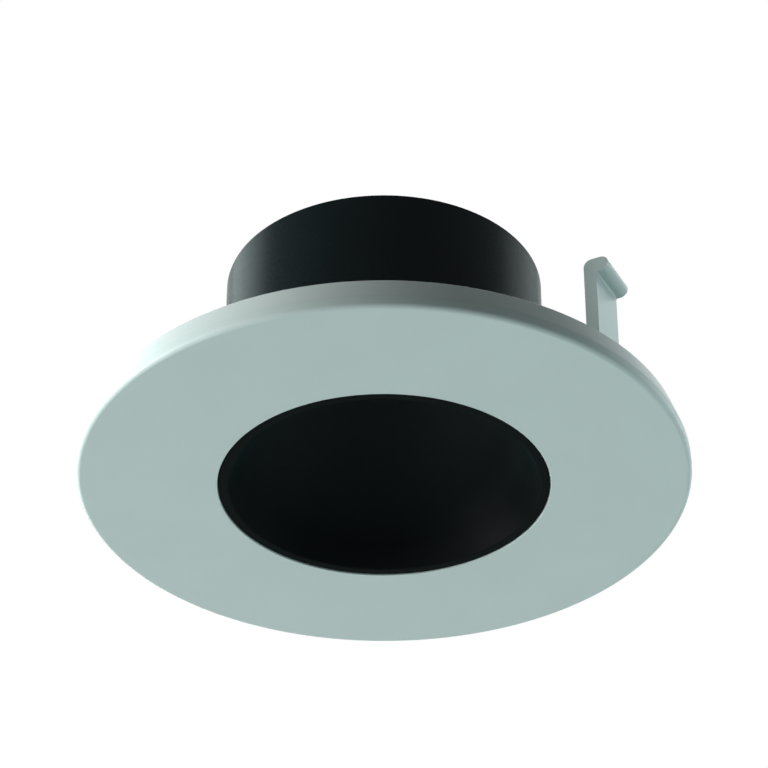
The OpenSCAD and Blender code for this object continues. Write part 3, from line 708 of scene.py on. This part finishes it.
def finish_of(slot):
    """The material of a slot, made when it is first asked for."""
    made = next((m for m in bpy.data.materials if m.get("spot_slot") == slot), None)
    if made is None:
        colours = SimpleNamespace(**{k: tuple(v) for k, v in vars(sizes("spot_colours")).items()})
        made = FINISHES[slot](colours)
        made["spot_slot"] = slot
    return made


# Pieces

class SPOT_OT_trim_ring(bpy.types.Operator):
    """Turns the trim ring with its rounded edge and drawn-in rim, and adds its lands and bosses"""
    bl_idname = "spot.trim_ring"
    bl_label = "Trim ring"

    def execute(self, context):
        s = sizes("spot_ring")
        inner_r, back_r, collar_in = s.outer_r - s.rim, s.outer_r - s.draw, s.collar_r - s.collar_w
        ring = turned(
            [(s.mouth_r, 0, 0.12, 3), (s.outer_r, 0, s.edge_r, 8), (s.outer_r, s.band, 0.25, 3),
             (back_r, s.depth, 0.25, 3), (inner_r, s.depth, 0.25, 2), (inner_r, PLATE_Z, 0.4, 3),
             (s.collar_r, PLATE_Z), (s.collar_r, SEAT_Z, 0.15, 2), (collar_in, SEAT_Z),
             (collar_in, PLATE_Z), (s.mouth_r, PLATE_Z)], steps=192)
        lo, hi = (TAB_BACK, -TAB_HALF, PLATE_Z / 2), (TAB_FRONT, TAB_HALF, SEAT_Z)
        lands = [turn_to(block(lo, hi, 0.2, corner=0.8), hook_matrix(side)) for side in (0, 1)]
        bosses = [drum(BOSS_R, PLATE_Z / 2, SEAT_Z, 0.2, at=at) for at in ring_screws()]
        place("trim_ring_cast", combined(ring, *lands, *bosses), "ring_paint", "trim_ring")
        return {"FINISHED"}


class SPOT_OT_baffle(bpy.types.Operator):
    """Turns the baffle: lip, shoulder, cone and cup"""
    bl_idname = "spot.baffle"
    bl_label = "Baffle"

    def execute(self, context):
        s = sizes("spot_baffle")
        lip_r = sizes("spot_ring").mouth_r - 0.1
        cone_r = lip_r - s.lip_w
        slope = (cone_r - s.neck_r) / (NECK_Z - s.lip_set)
        across = s.wall * math.hypot(1, slope)
        cup_in = radius("front_glass") + 0.1
        cup_out, cup_top, step = cup_in + s.cup_wall, high("baffle", 2), NECK_Z - s.wall

        def cone(z):
            return cone_r - slope * (z - s.lip_set)

        baffle = turned(
            [(cone_r, s.lip_set, 0.2, 3), (lip_r, s.lip_set, 0.12, 2), (lip_r, PLATE_Z),
             (s.shoulder_r, PLATE_Z), (s.shoulder_r, SEAT_Z, 0.1, 2), (cone(SEAT_Z) + across, SEAT_Z),
             (cone(step) + across, step), (cup_out, step), (cup_out, cup_top, 0.2, 2),
             (cup_in, cup_top, 0.15, 2), (cup_in, NECK_Z), (s.neck_r, NECK_Z, 0.15, 2)], steps=160)
        place("baffle_cone", baffle, "baffle_black", "baffle")
        return {"FINISHED"}


def ring_screws():
    """Where the flange is screwed to the ring, half way between the hooks."""
    beyond_collar = 1.9
    return on_circle(sizes("spot_ring").collar_r + beyond_collar, HOOK_ANGLE + math.pi / 4, 4)


def columns():
    """Where the rear cover is screwed to the can's columns."""
    within_bore = 2.0
    return on_circle(sizes("spot_housing").bore_r - within_bore, math.radians(30), 3)


class SPOT_OT_lamp_housing(bpy.types.Operator):
    """Casts the can with its flange, ears and screw columns"""
    bl_idname = "spot.lamp_housing"
    bl_label = "Lamp housing"

    def execute(self, context):
        s = sizes("spot_housing")
        collar_r = sizes("spot_ring").collar_r
        foot, top, edge_r = SEAT_Z + s.flange, high("lamp_housing", 2), s.can_r - EDGE_WALL
        step_z, post_h, inset = 6.9, 8, 0.01
        can = turned(
            [(s.foot_r, SEAT_Z), (collar_r, SEAT_Z), (collar_r, foot, 0.3, 3), (s.can_r, foot, s.fillet, 5),
             (s.can_r, top, 0.25, 3), (edge_r, top, 0.2, 2), (edge_r, COVER_Z), (s.bore_r, COVER_Z),
             (s.bore_r, step_z), (s.foot_r, step_z)], steps=160)
        ears = []
        for x, y in ring_screws():
            lo = (s.can_r + 0.2, -BOSS_R, SEAT_Z + inset)
            hi = (math.hypot(x, y) + BOSS_R, BOSS_R, foot - inset)
            ear = block(lo, hi, 0.3, 3, BOSS_R - 2 * inset)
            ears.append(turn_to(ear, Matrix.Rotation(math.atan2(y, x), 4, "Z")))
        posts = [drum(s.column_r - 2 * inset, COVER_Z - post_h, COVER_Z - inset, steps=40, at=at)
                 for at in columns()]
        place("lamp_can", combined(can, *ears, *posts), "can_black", "lamp_housing")
        return {"FINISHED"}


class SPOT_OT_rear_cover(bpy.types.Operator):
    """Casts the rear cover: plate with a seal groove, cooling fins and a boss for the gland"""
    bl_idname = "spot.rear_cover"
    bl_label = "Rear cover"

    def execute(self, context):
        s = sizes("spot_housing")
        r, foot, tips = s.can_r - EDGE_WALL - 0.1, COVER_Z + s.cover_t, high("rear_cover", 2)
        middle, groove, depth = COVER_Z + s.cover_t / 2, 0.625, 1.1
        disc = turned(
            [(0, COVER_Z), (r, COVER_Z, 0.2, 2), (r, middle - groove), (r - depth, middle - groove),
             (r - depth, middle + groove), (r, middle + groove), (r, foot, 0.3, 3), (0, foot)],
            steps=128, on_axis=True)
        count = int(s.fin_zone_r / s.fin_pitch)
        rows = [i * s.fin_pitch for i in range(-count, count + 1)]
        fins = gathered(*[block((-s.fin_zone_r - 1, y - s.fin_t / 2, foot - 0.3),
                                (s.fin_zone_r + 1, y + s.fin_t / 2, tips), 0.35, 3) for y in rows])
        gland_r, boss_top = radius("gland_body"), low("gland_washer", 2)
        fins = combined(fins, drum(s.fin_zone_r, foot - 2, tips + 2, steps=128), how="INTERSECT")
        fins = cut(fins, drum(gland_r + 1.1, foot - 3, tips + 3, steps=96, at=GLAND))
        boss = drum(gland_r + 0.2, foot - 0.3, boss_top, 0.2, steps=96, at=GLAND)
        cover = combined(disc, boss, soften(fins, 0.12, 50))
        cover = cut(cover, drum(INLET_R, COVER_Z - 1, boss_top + 1, at=GLAND))
        place("cover_cast", cover, "cover_black", "rear_cover")
        return {"FINISHED"}


def screw(d, seat, reach, at=(0, 0), turn=0.0):
    """A pan-head screw with a cross recess: its seat is at a height, and it points down."""
    r, h, core_r = 0.9 * d, 0.6 * d, 0.42 * d
    arm, slot, slot_z = 0.58 * r, 0.14 * r, seat + 0.42 * h
    head = turned([(0, seat), (r, seat, 0.06, 1), (r, seat + h, 0.55 * h, 5), (0, seat + h)],
                  steps=40, on_axis=True)
    recess = block((-arm, -slot, slot_z), (arm, slot, seat + 2 * h))
    crossed = [turn_to(recess, Matrix.Rotation(turn, 4, "Z"))]
    crossed.append(turn_to(crossed[0].copy(), Matrix.Rotation(math.pi / 2, 4, "Z")))
    shank = drum(core_r, seat - reach, seat + 0.1, 0.1, steps=24)
    ridge = thread(core_r, 0.18 * d, seat - reach + 0.3, seat - 0.3, 0.07 * d, 16)
    return moved(gathered(soften(cut(head, *crossed), 0.04, 60, 1), shank, ridge), at)


class SPOT_OT_screws(bpy.types.Operator):
    """Makes the screws of the flange, the brackets, the cover and the holder"""
    bl_idname = "spot.screws"
    bl_label = "Screws"

    def execute(self, context):
        s = sizes("spot_housing")
        d, holder_d = 2.5, 1.6
        grip = SEAT_Z - low("housing_screws", 2)
        seat = SEAT_Z + s.flange
        flange = [screw(d, seat, s.flange + grip, at, 0.4 * k) for k, at in enumerate(ring_screws())]
        place("flange_screws", gathered(*flange), "zinc_steel", "housing_screws")
        seat = COVER_Z + s.cover_t
        reach = seat - low("rear_screws", 2)
        cover = [screw(d, seat, reach, at, 0.7 * k) for k, at in enumerate(columns())]
        place("cover_screws", gathered(*cover), "zinc_steel", "rear_screws")
        tabs = [turn_to(screw(d, BASE_Z, SHEET + grip, (TAB_SCREW_U, t), 0.3 + t), hook_matrix(side))
                for side in (0, 1) for t in (-TAB_SCREW_T, TAB_SCREW_T)]
        place("tab_screws", gathered(*tabs), "zinc_steel", "bracket_screws")
        seat = low("led_holder", 2)
        upside_down = Matrix.Translation((0, 0, seat)) @ Matrix.Rotation(math.pi, 4, "X")
        clamps = [turn_to(screw(holder_d, 0, high("holder_screws", 2) - seat, (x, 0), 0.5), upside_down)
                  for x in (-CLAMP_X, CLAMP_X)]
        place("clamp_screws", gathered(*clamps), "zinc_steel", "holder_screws")
        return {"FINISHED"}


class SPOT_OT_seals(bpy.types.Operator):
    """Makes the foam gasket, the cover's round seal and the flat seals"""
    bl_idname = "spot.seals"
    bl_label = "Seals"

    def execute(self, context):
        foam_r, washer_r, neck_r = radius("ceiling_gasket") - 3.6, radius("gland_washer") - 1.1, 12.2
        flat_ring("foam_gasket", "gasket_foam", "ceiling_gasket", foam_r, 0.3, 160)
        z0, z1 = heights("rear_seal")
        half = (z1 - z0) / 2
        middle_r = radius("rear_seal") - half
        section = [(middle_r + half * math.cos(a), z0 + half + half * math.sin(a))
                   for a in (math.tau * k / 16 for k in range(16))]
        place("cover_seal", turned(section, steps=128), "rubber_black", "rear_seal")
        flat_ring("neck_seal", "rubber_black", "glass_seal", neck_r, 0.12)
        flat_ring("inlet_washer", "rubber_black", "gland_washer", washer_r, 0.15, 64, GLAND)
        flat_ring("cable_bush", "rubber_black", "gland_seal", CABLE_R, 0.25, 64, GLAND)
        return {"FINISHED"}


class SPOT_OT_optics(bpy.types.Operator):
    """Makes the glass, the lens, the spacer and the snap ring"""
    bl_idname = "spot.optics"
    bl_label = "Optics"

    def execute(self, context):
        r, ring_w, (z0, z1) = radius("front_glass"), 1.5, heights("front_glass")
        glass = turned([(0, z0), (r, z0, 0.2, 2), (r, z1, 0.2, 2), (0, z1)], on_axis=True)
        place("glass_disc", glass, "clear_glass", "front_glass")
        flat_ring("spacer_ring", "white_plastic", "lens_spacer", r - ring_w, 0.08)
        z0, top = heights("optic_lens")
        crown_r, crown_h = 8.36, 0.6
        ball_r = (crown_r ** 2 + crown_h ** 2) / (2 * crown_h)
        slants = [math.asin(crown_r / ball_r) * k / 16 for k in range(16, -1, -1)]
        crown = [(ball_r * math.sin(a), top - ball_r + ball_r * math.cos(a)) for a in slants]
        rim_z = top - crown_h
        lens = turned([(0, z0), (r, z0, 0.15, 2), (r, rim_z, 0.15, 2)] + crown, on_axis=True)
        place("crowned_lens", lens, "clear_lens", "optic_lens")
        z0, z1 = heights("lens_snap_ring")
        gap = 2
        snap = cut(ring_of(r - ring_w, r, z0, z1, 0.1), block((0, -gap, z0 - 1), (r + 1, gap, z1 + 1)))
        place("snap_ring", soften(snap, 0.06, 50), "zinc_steel", "lens_snap_ring")
        return {"FINISHED"}


class SPOT_OT_light_source(bpy.types.Operator):
    """Makes the board with its emitter, the holder, the pad, the leads and the terminal block"""
    bl_idname = "spot.light_source"
    bl_label = "Light source"

    def execute(self, context):
        z0, z1 = heights("led_board")
        half = radius("led_board")
        place("emitter_board", block((-half, -half, z0), (half, half, z1), 0.08, corner=0.6),
              "board_white", "led_board")
        r, (z0, z1) = radius("led_emitter"), heights("led_emitter")
        rim_in, gel_z = r - 0.4, z0 + 0.12
        disc = turned([(0, gel_z), (rim_in - 0.1, gel_z), (rim_in, z0, 0.06, 2), (r, z0, 0.06, 2),
                       (r, z1), (0, z1)], steps=96, on_axis=True)
        place("emitting_disc", disc, "phosphor", "led_emitter")
        z0, z1 = heights("thermal_pad")
        place("heat_pad", block((-half, -half, z0), (half, half, z1), 0.06, corner=0.3), "pad_grey",
              "thermal_pad")
        self.holder(half + 0.1)
        self.terminals()
        return {"FINISHED"}

    def holder(self, pocket):
        """The round holder: a window for the emitter, a square pocket for the board and two ears."""
        z0, z1 = heights("led_holder")
        front = low("led_board", 2)
        r = (high("led_holder", 1) - low("led_holder", 1)) / 2
        ear_r, hole_r, window_r, emitter_r = 2.4, 0.95, 5.76, 4.8
        ears = [block((-CLAMP_X, -ear_r, z0), (CLAMP_X, ear_r, z1), 0.15)]
        ears += [drum(ear_r, z0, z1, 0.15, at=(x, 0)) for x in (-CLAMP_X, CLAMP_X)]
        body = combined(drum(r, z0, z1, 0.25, 96), *ears)
        window = drum(window_r, z0 - 0.001, front + 0.001, steps=96, r_top=emitter_r)
        holes = [drum(hole_r, z0 - 1, z1 + 1, at=(x, 0)) for x in (-CLAMP_X, CLAMP_X)]
        body = cut(body, block((-pocket, -pocket, front), (pocket, pocket, z1 + 1)), window, *holes)
        place("emitter_holder", body, "white_plastic", "led_holder")

    def terminals(self):
        """The terminal block against the can, and the two leads from it to the holder."""
        lo, hi = [tuple(c / MM for c in corner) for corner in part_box("terminal_block")]
        bore_r, well_r, well_z, lead_r, bend_r = sizes("spot_housing").bore_r, 1.1, lo[2] + 2.8, 0.5, 1
        body = block(lo, (hi[0], bore_r + 3.4, hi[2]), 0.3, 3)
        body = combined(body, drum(bore_r - 0.1, lo[2] - 1, hi[2] + 1, steps=128), how="INTERSECT")
        lead_x = (hi[0] - lo[0]) / 5
        laid = Matrix.Rotation(-math.pi / 2, 4, "X")
        for x in (-lead_x, lead_x):
            body = cut(body, turn_to(drum(well_r, -1, 1.2), Matrix.Translation((x, lo[1], well_z)) @ laid))
        place("lead_terminals", body, "white_plastic", "terminal_block")
        back_y, end_y = high("led_leads", 1) - lead_r, low("led_leads", 1)
        bend_z = high("led_leads", 2) - lead_r - bend_r
        for name, finish, x in (("plus_lead", "lead_sleeve", lead_x),
                                ("minus_lead", "lead_sleeve_dark", -lead_x)):
            bend = ((x, back_y - bend_r, bend_z), (1, 0, 0), math.pi / 2, 10, (0, 0, 0))
            moves = [(0, 0, bend_z - hi[2]), bend, (0, end_y - back_y + bend_r, 0)]
            lead = rod(lead_r, (x, back_y, hi[2]), moves, sides=20)
            place(name, lead, "lead_sleeve", "led_leads", finish=finish)


class SPOT_OT_gland(bpy.types.Operator):
    """Makes the cable gland's threaded body and its compression nut"""
    bl_idname = "spot.gland"
    bl_label = "Cable gland"

    def execute(self, context):
        hex_r, bore, neck_r, cup_r = radius("gland_body"), CABLE_R + 0.2, GLAND_R - 0.2, 4
        z0, neck_top = heights("gland_body")
        hex_z, (nut_z, nut_top) = high("gland_washer", 2), heights("gland_nut")
        body = combined(self.hexagon(hex_r, hex_z, nut_z - 0.3),
                        drum(neck_r, hex_z - 1, neck_top, 0.2, 64, GLAND),
                        drum(GLAND_R, z0, hex_z + 0.1, 0.2, 64, GLAND))
        body = cut(body, drum(bore, z0 - 1, neck_top + 1, at=GLAND),
                   drum(cup_r, nut_z + 0.5, neck_top + 1, at=GLAND))
        ridge = moved(thread(neck_r - 0.03, 1.0, nut_z + 0.2, neck_top - 0.6, 0.16, 40), GLAND)
        place("gland_body_moulded", gathered(body, ridge), "gland_black", "gland_body")
        dome_r, dome_z, round_r, lip_r = 6.3, nut_top - 3, 2.25, bore + 1.1
        dome_top = dome_z + round_r
        dome = turned([(bore, dome_z - 1), (dome_r, dome_z - 1), (dome_r, dome_top, round_r - 0.02, 10),
                       (lip_r, dome_top), (lip_r, nut_top, 0.25, 3), (bore, nut_top, 0.2, 2)], steps=96)
        nut = combined(self.hexagon(hex_r, nut_z, dome_z), moved(dome, GLAND))
        nut = cut(nut, drum(bore, nut_z - 1, nut_top + 1, at=GLAND),
                  drum(GLAND_R, nut_z - 1, nut_top - 1.9, at=GLAND))
        place("gland_nut_moulded", nut, "gland_black", "gland_nut")
        return {"FINISHED"}

    def hexagon(self, r, z0, z1):
        """A hexagon whose corners are chamfered at both ends."""
        barrel = drum(r - 0.05, z0, z1, 0.0, 96, GLAND)
        bevel(barrel, level(barrel), 0.5, 1)
        return soften(combined(drum(r, z0, z1, 0.0, 6, GLAND), barrel, how="INTERSECT"), 0.1, 45)


class SPOT_OT_brackets(bpy.types.Operator):
    """Bends the two hook brackets from sheet: base with tabs, ears, web and stop lip"""
    bl_idname = "spot.brackets"
    bl_label = "Brackets"

    def execute(self, context):
        s = sizes("spot_hook")
        back, web, front = TAB_BACK, TAB_BACK + s.sheet, TAB_FRONT
        top, stop_u, ear_t, hole_r, gap = high("hook_bracket_right", 2), 33.3, 4.0, 1.4, 1.9
        z0, outside = BASE_Z - s.sheet, ear_t + s.sheet
        base = block((back, -TAB_HALF, z0), (front, TAB_HALF, BASE_Z), 0.0, corner=0.9)
        spine = plate([(back, z0), (web, z0), (web, top - s.sheet, 0.3), (stop_u, top - s.sheet),
                       (stop_u, top), (back, top, 0.9)], -outside, outside)
        ears = []
        for t in (-outside, ear_t):
            ears.append(plate([(back, z0), (front, z0), (front, PIVOT_Z), (stop_u, top), (back, top, 0.9)],
                              t, t + s.sheet))
            ears.append(along_pin(drum(front - PIVOT_U, t, t + s.sheet, steps=64)))
        holes = [drum(hole_r, z0 - 1, BASE_Z + 1, at=(TAB_SCREW_U, t)) for t in (-TAB_SCREW_T, TAB_SCREW_T)]
        holes.append(along_pin(drum(s.pin_r + 0.02, -outside - 1, outside + 1, steps=64)))
        holes.append(block((web + 0.2, -gap, top - 2 * s.sheet), (stop_u + 1, gap, top + 1)))
        bracket = soften(merged(cut(combined(base, spine, *ears), *holes)), 0.12, 50)
        place_pair("bracket_*_bent", bracket, "zinc_steel", "hook_bracket_*")
        return {"FINISHED"}


class SPOT_OT_hooks(bpy.types.Operator):
    """Makes the two hooks: blade, rounded nose, knuckles and toes"""
    bl_idname = "spot.hooks"
    bl_label = "Hooks"

    def execute(self, context):
        s = sizes("spot_hook")
        half, blade_in = s.width / 2, PIVOT_U + 0.6
        blade_out, root = blade_in + s.blade, PIVOT_Z + 2.4
        toe_u, gap, knuckle_r, bend_r = 31.55, 1.9, 2.2, s.nose_r - 0.01
        tip, top = blade_out + s.nose, high("hook_right", 2)
        under, toe_z, toe_top = top - 2 * s.nose_r, PIVOT_Z - 2.4, PIVOT_Z - 0.8
        blade = plate([(blade_in, root), (blade_out, root), (blade_out, under, 0.25), (tip, under, bend_r),
                       (tip, top, bend_r), (blade_in, top, s.nose_r)], -half, half)
        feet = []
        for t0, t1 in ((-half, -gap), (gap, half)):
            feet.append(plate([(PIVOT_U, PIVOT_Z), (blade_out, PIVOT_Z), (blade_out, root + 0.1),
                               (PIVOT_U, PIVOT_Z + knuckle_r)], t0, t1))
            feet.append(plate([(toe_u, toe_z, 0.3), (PIVOT_U, toe_z), (PIVOT_U, toe_top),
                               (toe_u, toe_top, 0.3)], t0, t1))
            feet.append(along_pin(drum(knuckle_r, t0, t1, steps=48)))
        hook = cut(combined(blade, *feet), along_pin(drum(s.pin_r + 0.05, -half - 1, half + 1)))
        place_pair("hook_*_painted", soften(merged(hook), 0.16, 40), "hook_paint", "hook_*", body="hook_*")
        return {"FINISHED"}


class SPOT_OT_pins(bpy.types.Operator):
    """Makes the riveted hinge pins"""
    bl_idname = "spot.pins"
    bl_label = "Hinge pins"

    def execute(self, context):
        s = sizes("spot_hook")
        end, head, head_r = 5.0, 0.5, s.pin_r + 0.6
        pin = turned([(0, -end - head), (head_r, -end - head, 0.35, 4), (head_r, -end), (s.pin_r, -end),
                      (s.pin_r, end), (head_r, end), (head_r, end + head, 0.35, 4), (0, end + head)],
                     steps=48, on_axis=True)
        place_pair("pin_*_riveted", along_pin(pin), "zinc_steel", "hook_pin_*")
        return {"FINISHED"}


class SPOT_OT_springs(bpy.types.Operator):
    """Winds the two torsion springs: one leg on the bracket, the other on the hook"""
    bl_idname = "spot.springs"
    bl_label = "Springs"

    def execute(self, context):
        s = sizes("spot_hook")
        low_tip = (TAB_BACK + s.sheet + 0.25 + s.wire_r, BASE_Z + s.wire_r + 0.05)
        high_tip = (PIVOT_U + 0.6 - s.wire_r - 0.05, PIVOT_Z + 6.4)
        wind_from = math.tau + self.leaves(low_tip, s.coil_r, -1)
        wind_to = self.leaves(high_tip, s.coil_r, 1) - math.tau * s.turns
        wound = wind_from - wind_to
        span = s.pitch * wound / math.tau
        first = Vector((PIVOT_U + s.coil_r * math.cos(wind_from), -span / 2,
                        PIVOT_Z + s.coil_r * math.sin(wind_from)))
        last = Vector((PIVOT_U + s.coil_r * math.cos(wind_to), span / 2,
                       PIVOT_Z + s.coil_r * math.sin(wind_to)))
        start = Vector((low_tip[0], -span / 2, low_tip[1]))
        end = Vector((high_tip[0], span / 2, high_tip[1]))
        steps = int(24 * wound / math.tau)
        coil = ((PIVOT_U, 0, PIVOT_Z), (0, 1, 0), wound, steps, (0, span, 0))
        for side, name in enumerate(SIDES):
            wire = rod(s.wire_r, start, [tuple(first - start), coil, tuple(end - last)], tip_soft=0.08)
            obj = shaded(f"spring_{name}_wound", turn_to(wire, hook_matrix(side)))
            obj.data.materials.append(finish_of("spring_steel"))
            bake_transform(obj)
            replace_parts(obj, f"hook_spring_{name}")
        return {"FINISHED"}

    def leaves(self, tip, coil_r, sense):
        """The angle on the coil at which a straight leg leaves it for its tip."""
        du, dz = tip[0] - PIVOT_U, tip[1] - PIVOT_Z
        return math.atan2(dz, du) + sense * math.acos(coil_r / math.hypot(du, dz))


# Stage: name, place, side of the square in metres, power in watts and colour of each lamp, all aimed at
# the light
WARM, PLAIN, COOL = (1.0, 0.91, 0.90), (1.0, 1.0, 1.0), (0.86, 1.0, 1.0)
LAMPS = (
    ("left", (-0.70, -0.03, 0.02), 0.4, 9.2, WARM),
    ("left_front", (-0.62, -0.32, 0.02), 0.4, 1.5, PLAIN),
    ("left_low", (-0.58, 0.05, -0.45), 0.5, 2.4, PLAIN),
    ("left_up", (-0.60, 0.35, 0.40), 0.5, 4.0, COOL),
    ("right_back", (0.75, 0.55, 0.05), 0.8, 2.5, COOL),
    ("right_low", (0.70, 0.10, -0.32), 0.5, 2.05, COOL),
    ("right_up", (0.60, 0.35, 0.40), 0.5, 1.45, COOL),
    ("below", (0.00, 0.00, -0.53), 0.9, 1.35, PLAIN),
    ("behind", (0.00, 0.75, 0.75), 0.8, 4.0, PLAIN),
)


class SPOT_OT_stage(bpy.types.Operator):
    """Sets up the floor, the background, the lamps and the camera"""
    bl_idname = "spot.stage"
    bl_label = "Stage"

    def execute(self, context):
        scene, s = context.scene, context.scene.spot_stage
        bm = bmesh.new()
        floor_half, aim = 12, Vector((0, 0, 0.02))
        bmesh.ops.create_grid(bm, x_segments=1, y_segments=1, size=floor_half / MM)
        bmesh.ops.translate(bm, vec=(0, 0, s.floor_z / MM), verts=bm.verts)
        floor = shaded("floor", bm)
        floor.data.materials.append(pale_floor())
        self.background(scene, s.ambient)
        for name, at, side, watts, tint in LAMPS:
            lamp = bpy.data.lights.new(name, "AREA")
            lamp.shape, lamp.size, lamp.energy = "SQUARE", side, watts
            lamp.color = tint
            holder = bpy.data.objects.new(name, lamp)
            holder.location = at
            holder.rotation_euler = (aim - Vector(at)).to_track_quat("-Z", "Y").to_euler()
            holder.visible_camera = False
            scene.collection.objects.link(holder)
        camera = bpy.data.objects.new("camera", bpy.data.cameras.new("camera"))
        camera.data.lens, camera.data.sensor_width = s.lens, 36.0
        camera.data.clip_start, camera.data.clip_end = 0.01, 20
        camera.location = s.place
        camera.rotation_euler = (math.pi / 2 + s.pitch, 0, 0)
        scene.collection.objects.link(camera)
        scene.camera = camera
        scene.view_settings.view_transform = "Standard"
        return {"FINISHED"}

    def background(self, scene, ambient):
        """White to the camera, in reflections and through glass, and an even soft light elsewhere."""
        world = bpy.data.worlds.new("studio")
        scene.world = world
        world.use_nodes = True
        tree = world.node_tree
        sky = tree.nodes["Background"].inputs
        feed(sky["Color"], (1, 1, 1, 1))
        feed(sky["Strength"], spread(seen_rays(tree), ambient, 1.0, 0, 1))


class SPOT_PT_panel(bpy.types.Panel):
    """Sizes, colours and pieces of the spotlight"""
    bl_label = "Recessed spotlight"
    bl_idname = "SPOT_PT_panel"
    bl_space_type = "VIEW_3D"
    bl_region_type = "UI"
    bl_category = "Spotlight"

    def draw(self, context):
        for group_name, kind in GROUPS.items():
            box = self.layout.box()
            for name in kind.__annotations__:
                box.prop(getattr(context.scene, group_name), name)
        for operator in OPERATORS:
            self.layout.operator(operator.bl_idname)


OPERATORS = (SPOT_OT_trim_ring, SPOT_OT_baffle, SPOT_OT_lamp_housing, SPOT_OT_rear_cover, SPOT_OT_screws,
             SPOT_OT_seals, SPOT_OT_optics, SPOT_OT_light_source, SPOT_OT_gland, SPOT_OT_brackets,
             SPOT_OT_hooks, SPOT_OT_pins, SPOT_OT_springs, SPOT_OT_stage)


def register():
    for cls in (*GROUPS.values(), *OPERATORS, SPOT_PT_panel):
        bpy.utils.register_class(cls)
    for name, cls in GROUPS.items():
        setattr(bpy.types.Scene, name, PointerProperty(type=cls))


def unregister():
    for name in GROUPS:
        delattr(bpy.types.Scene, name)
    for cls in reversed((*GROUPS.values(), *OPERATORS, SPOT_PT_panel)):
        bpy.utils.unregister_class(cls)


def main():
    register()
    for operator in OPERATORS:
        name = operator.bl_idname.split(".")[1]
        getattr(bpy.ops.spot, name)()


if __name__ == "__main__":
    main()
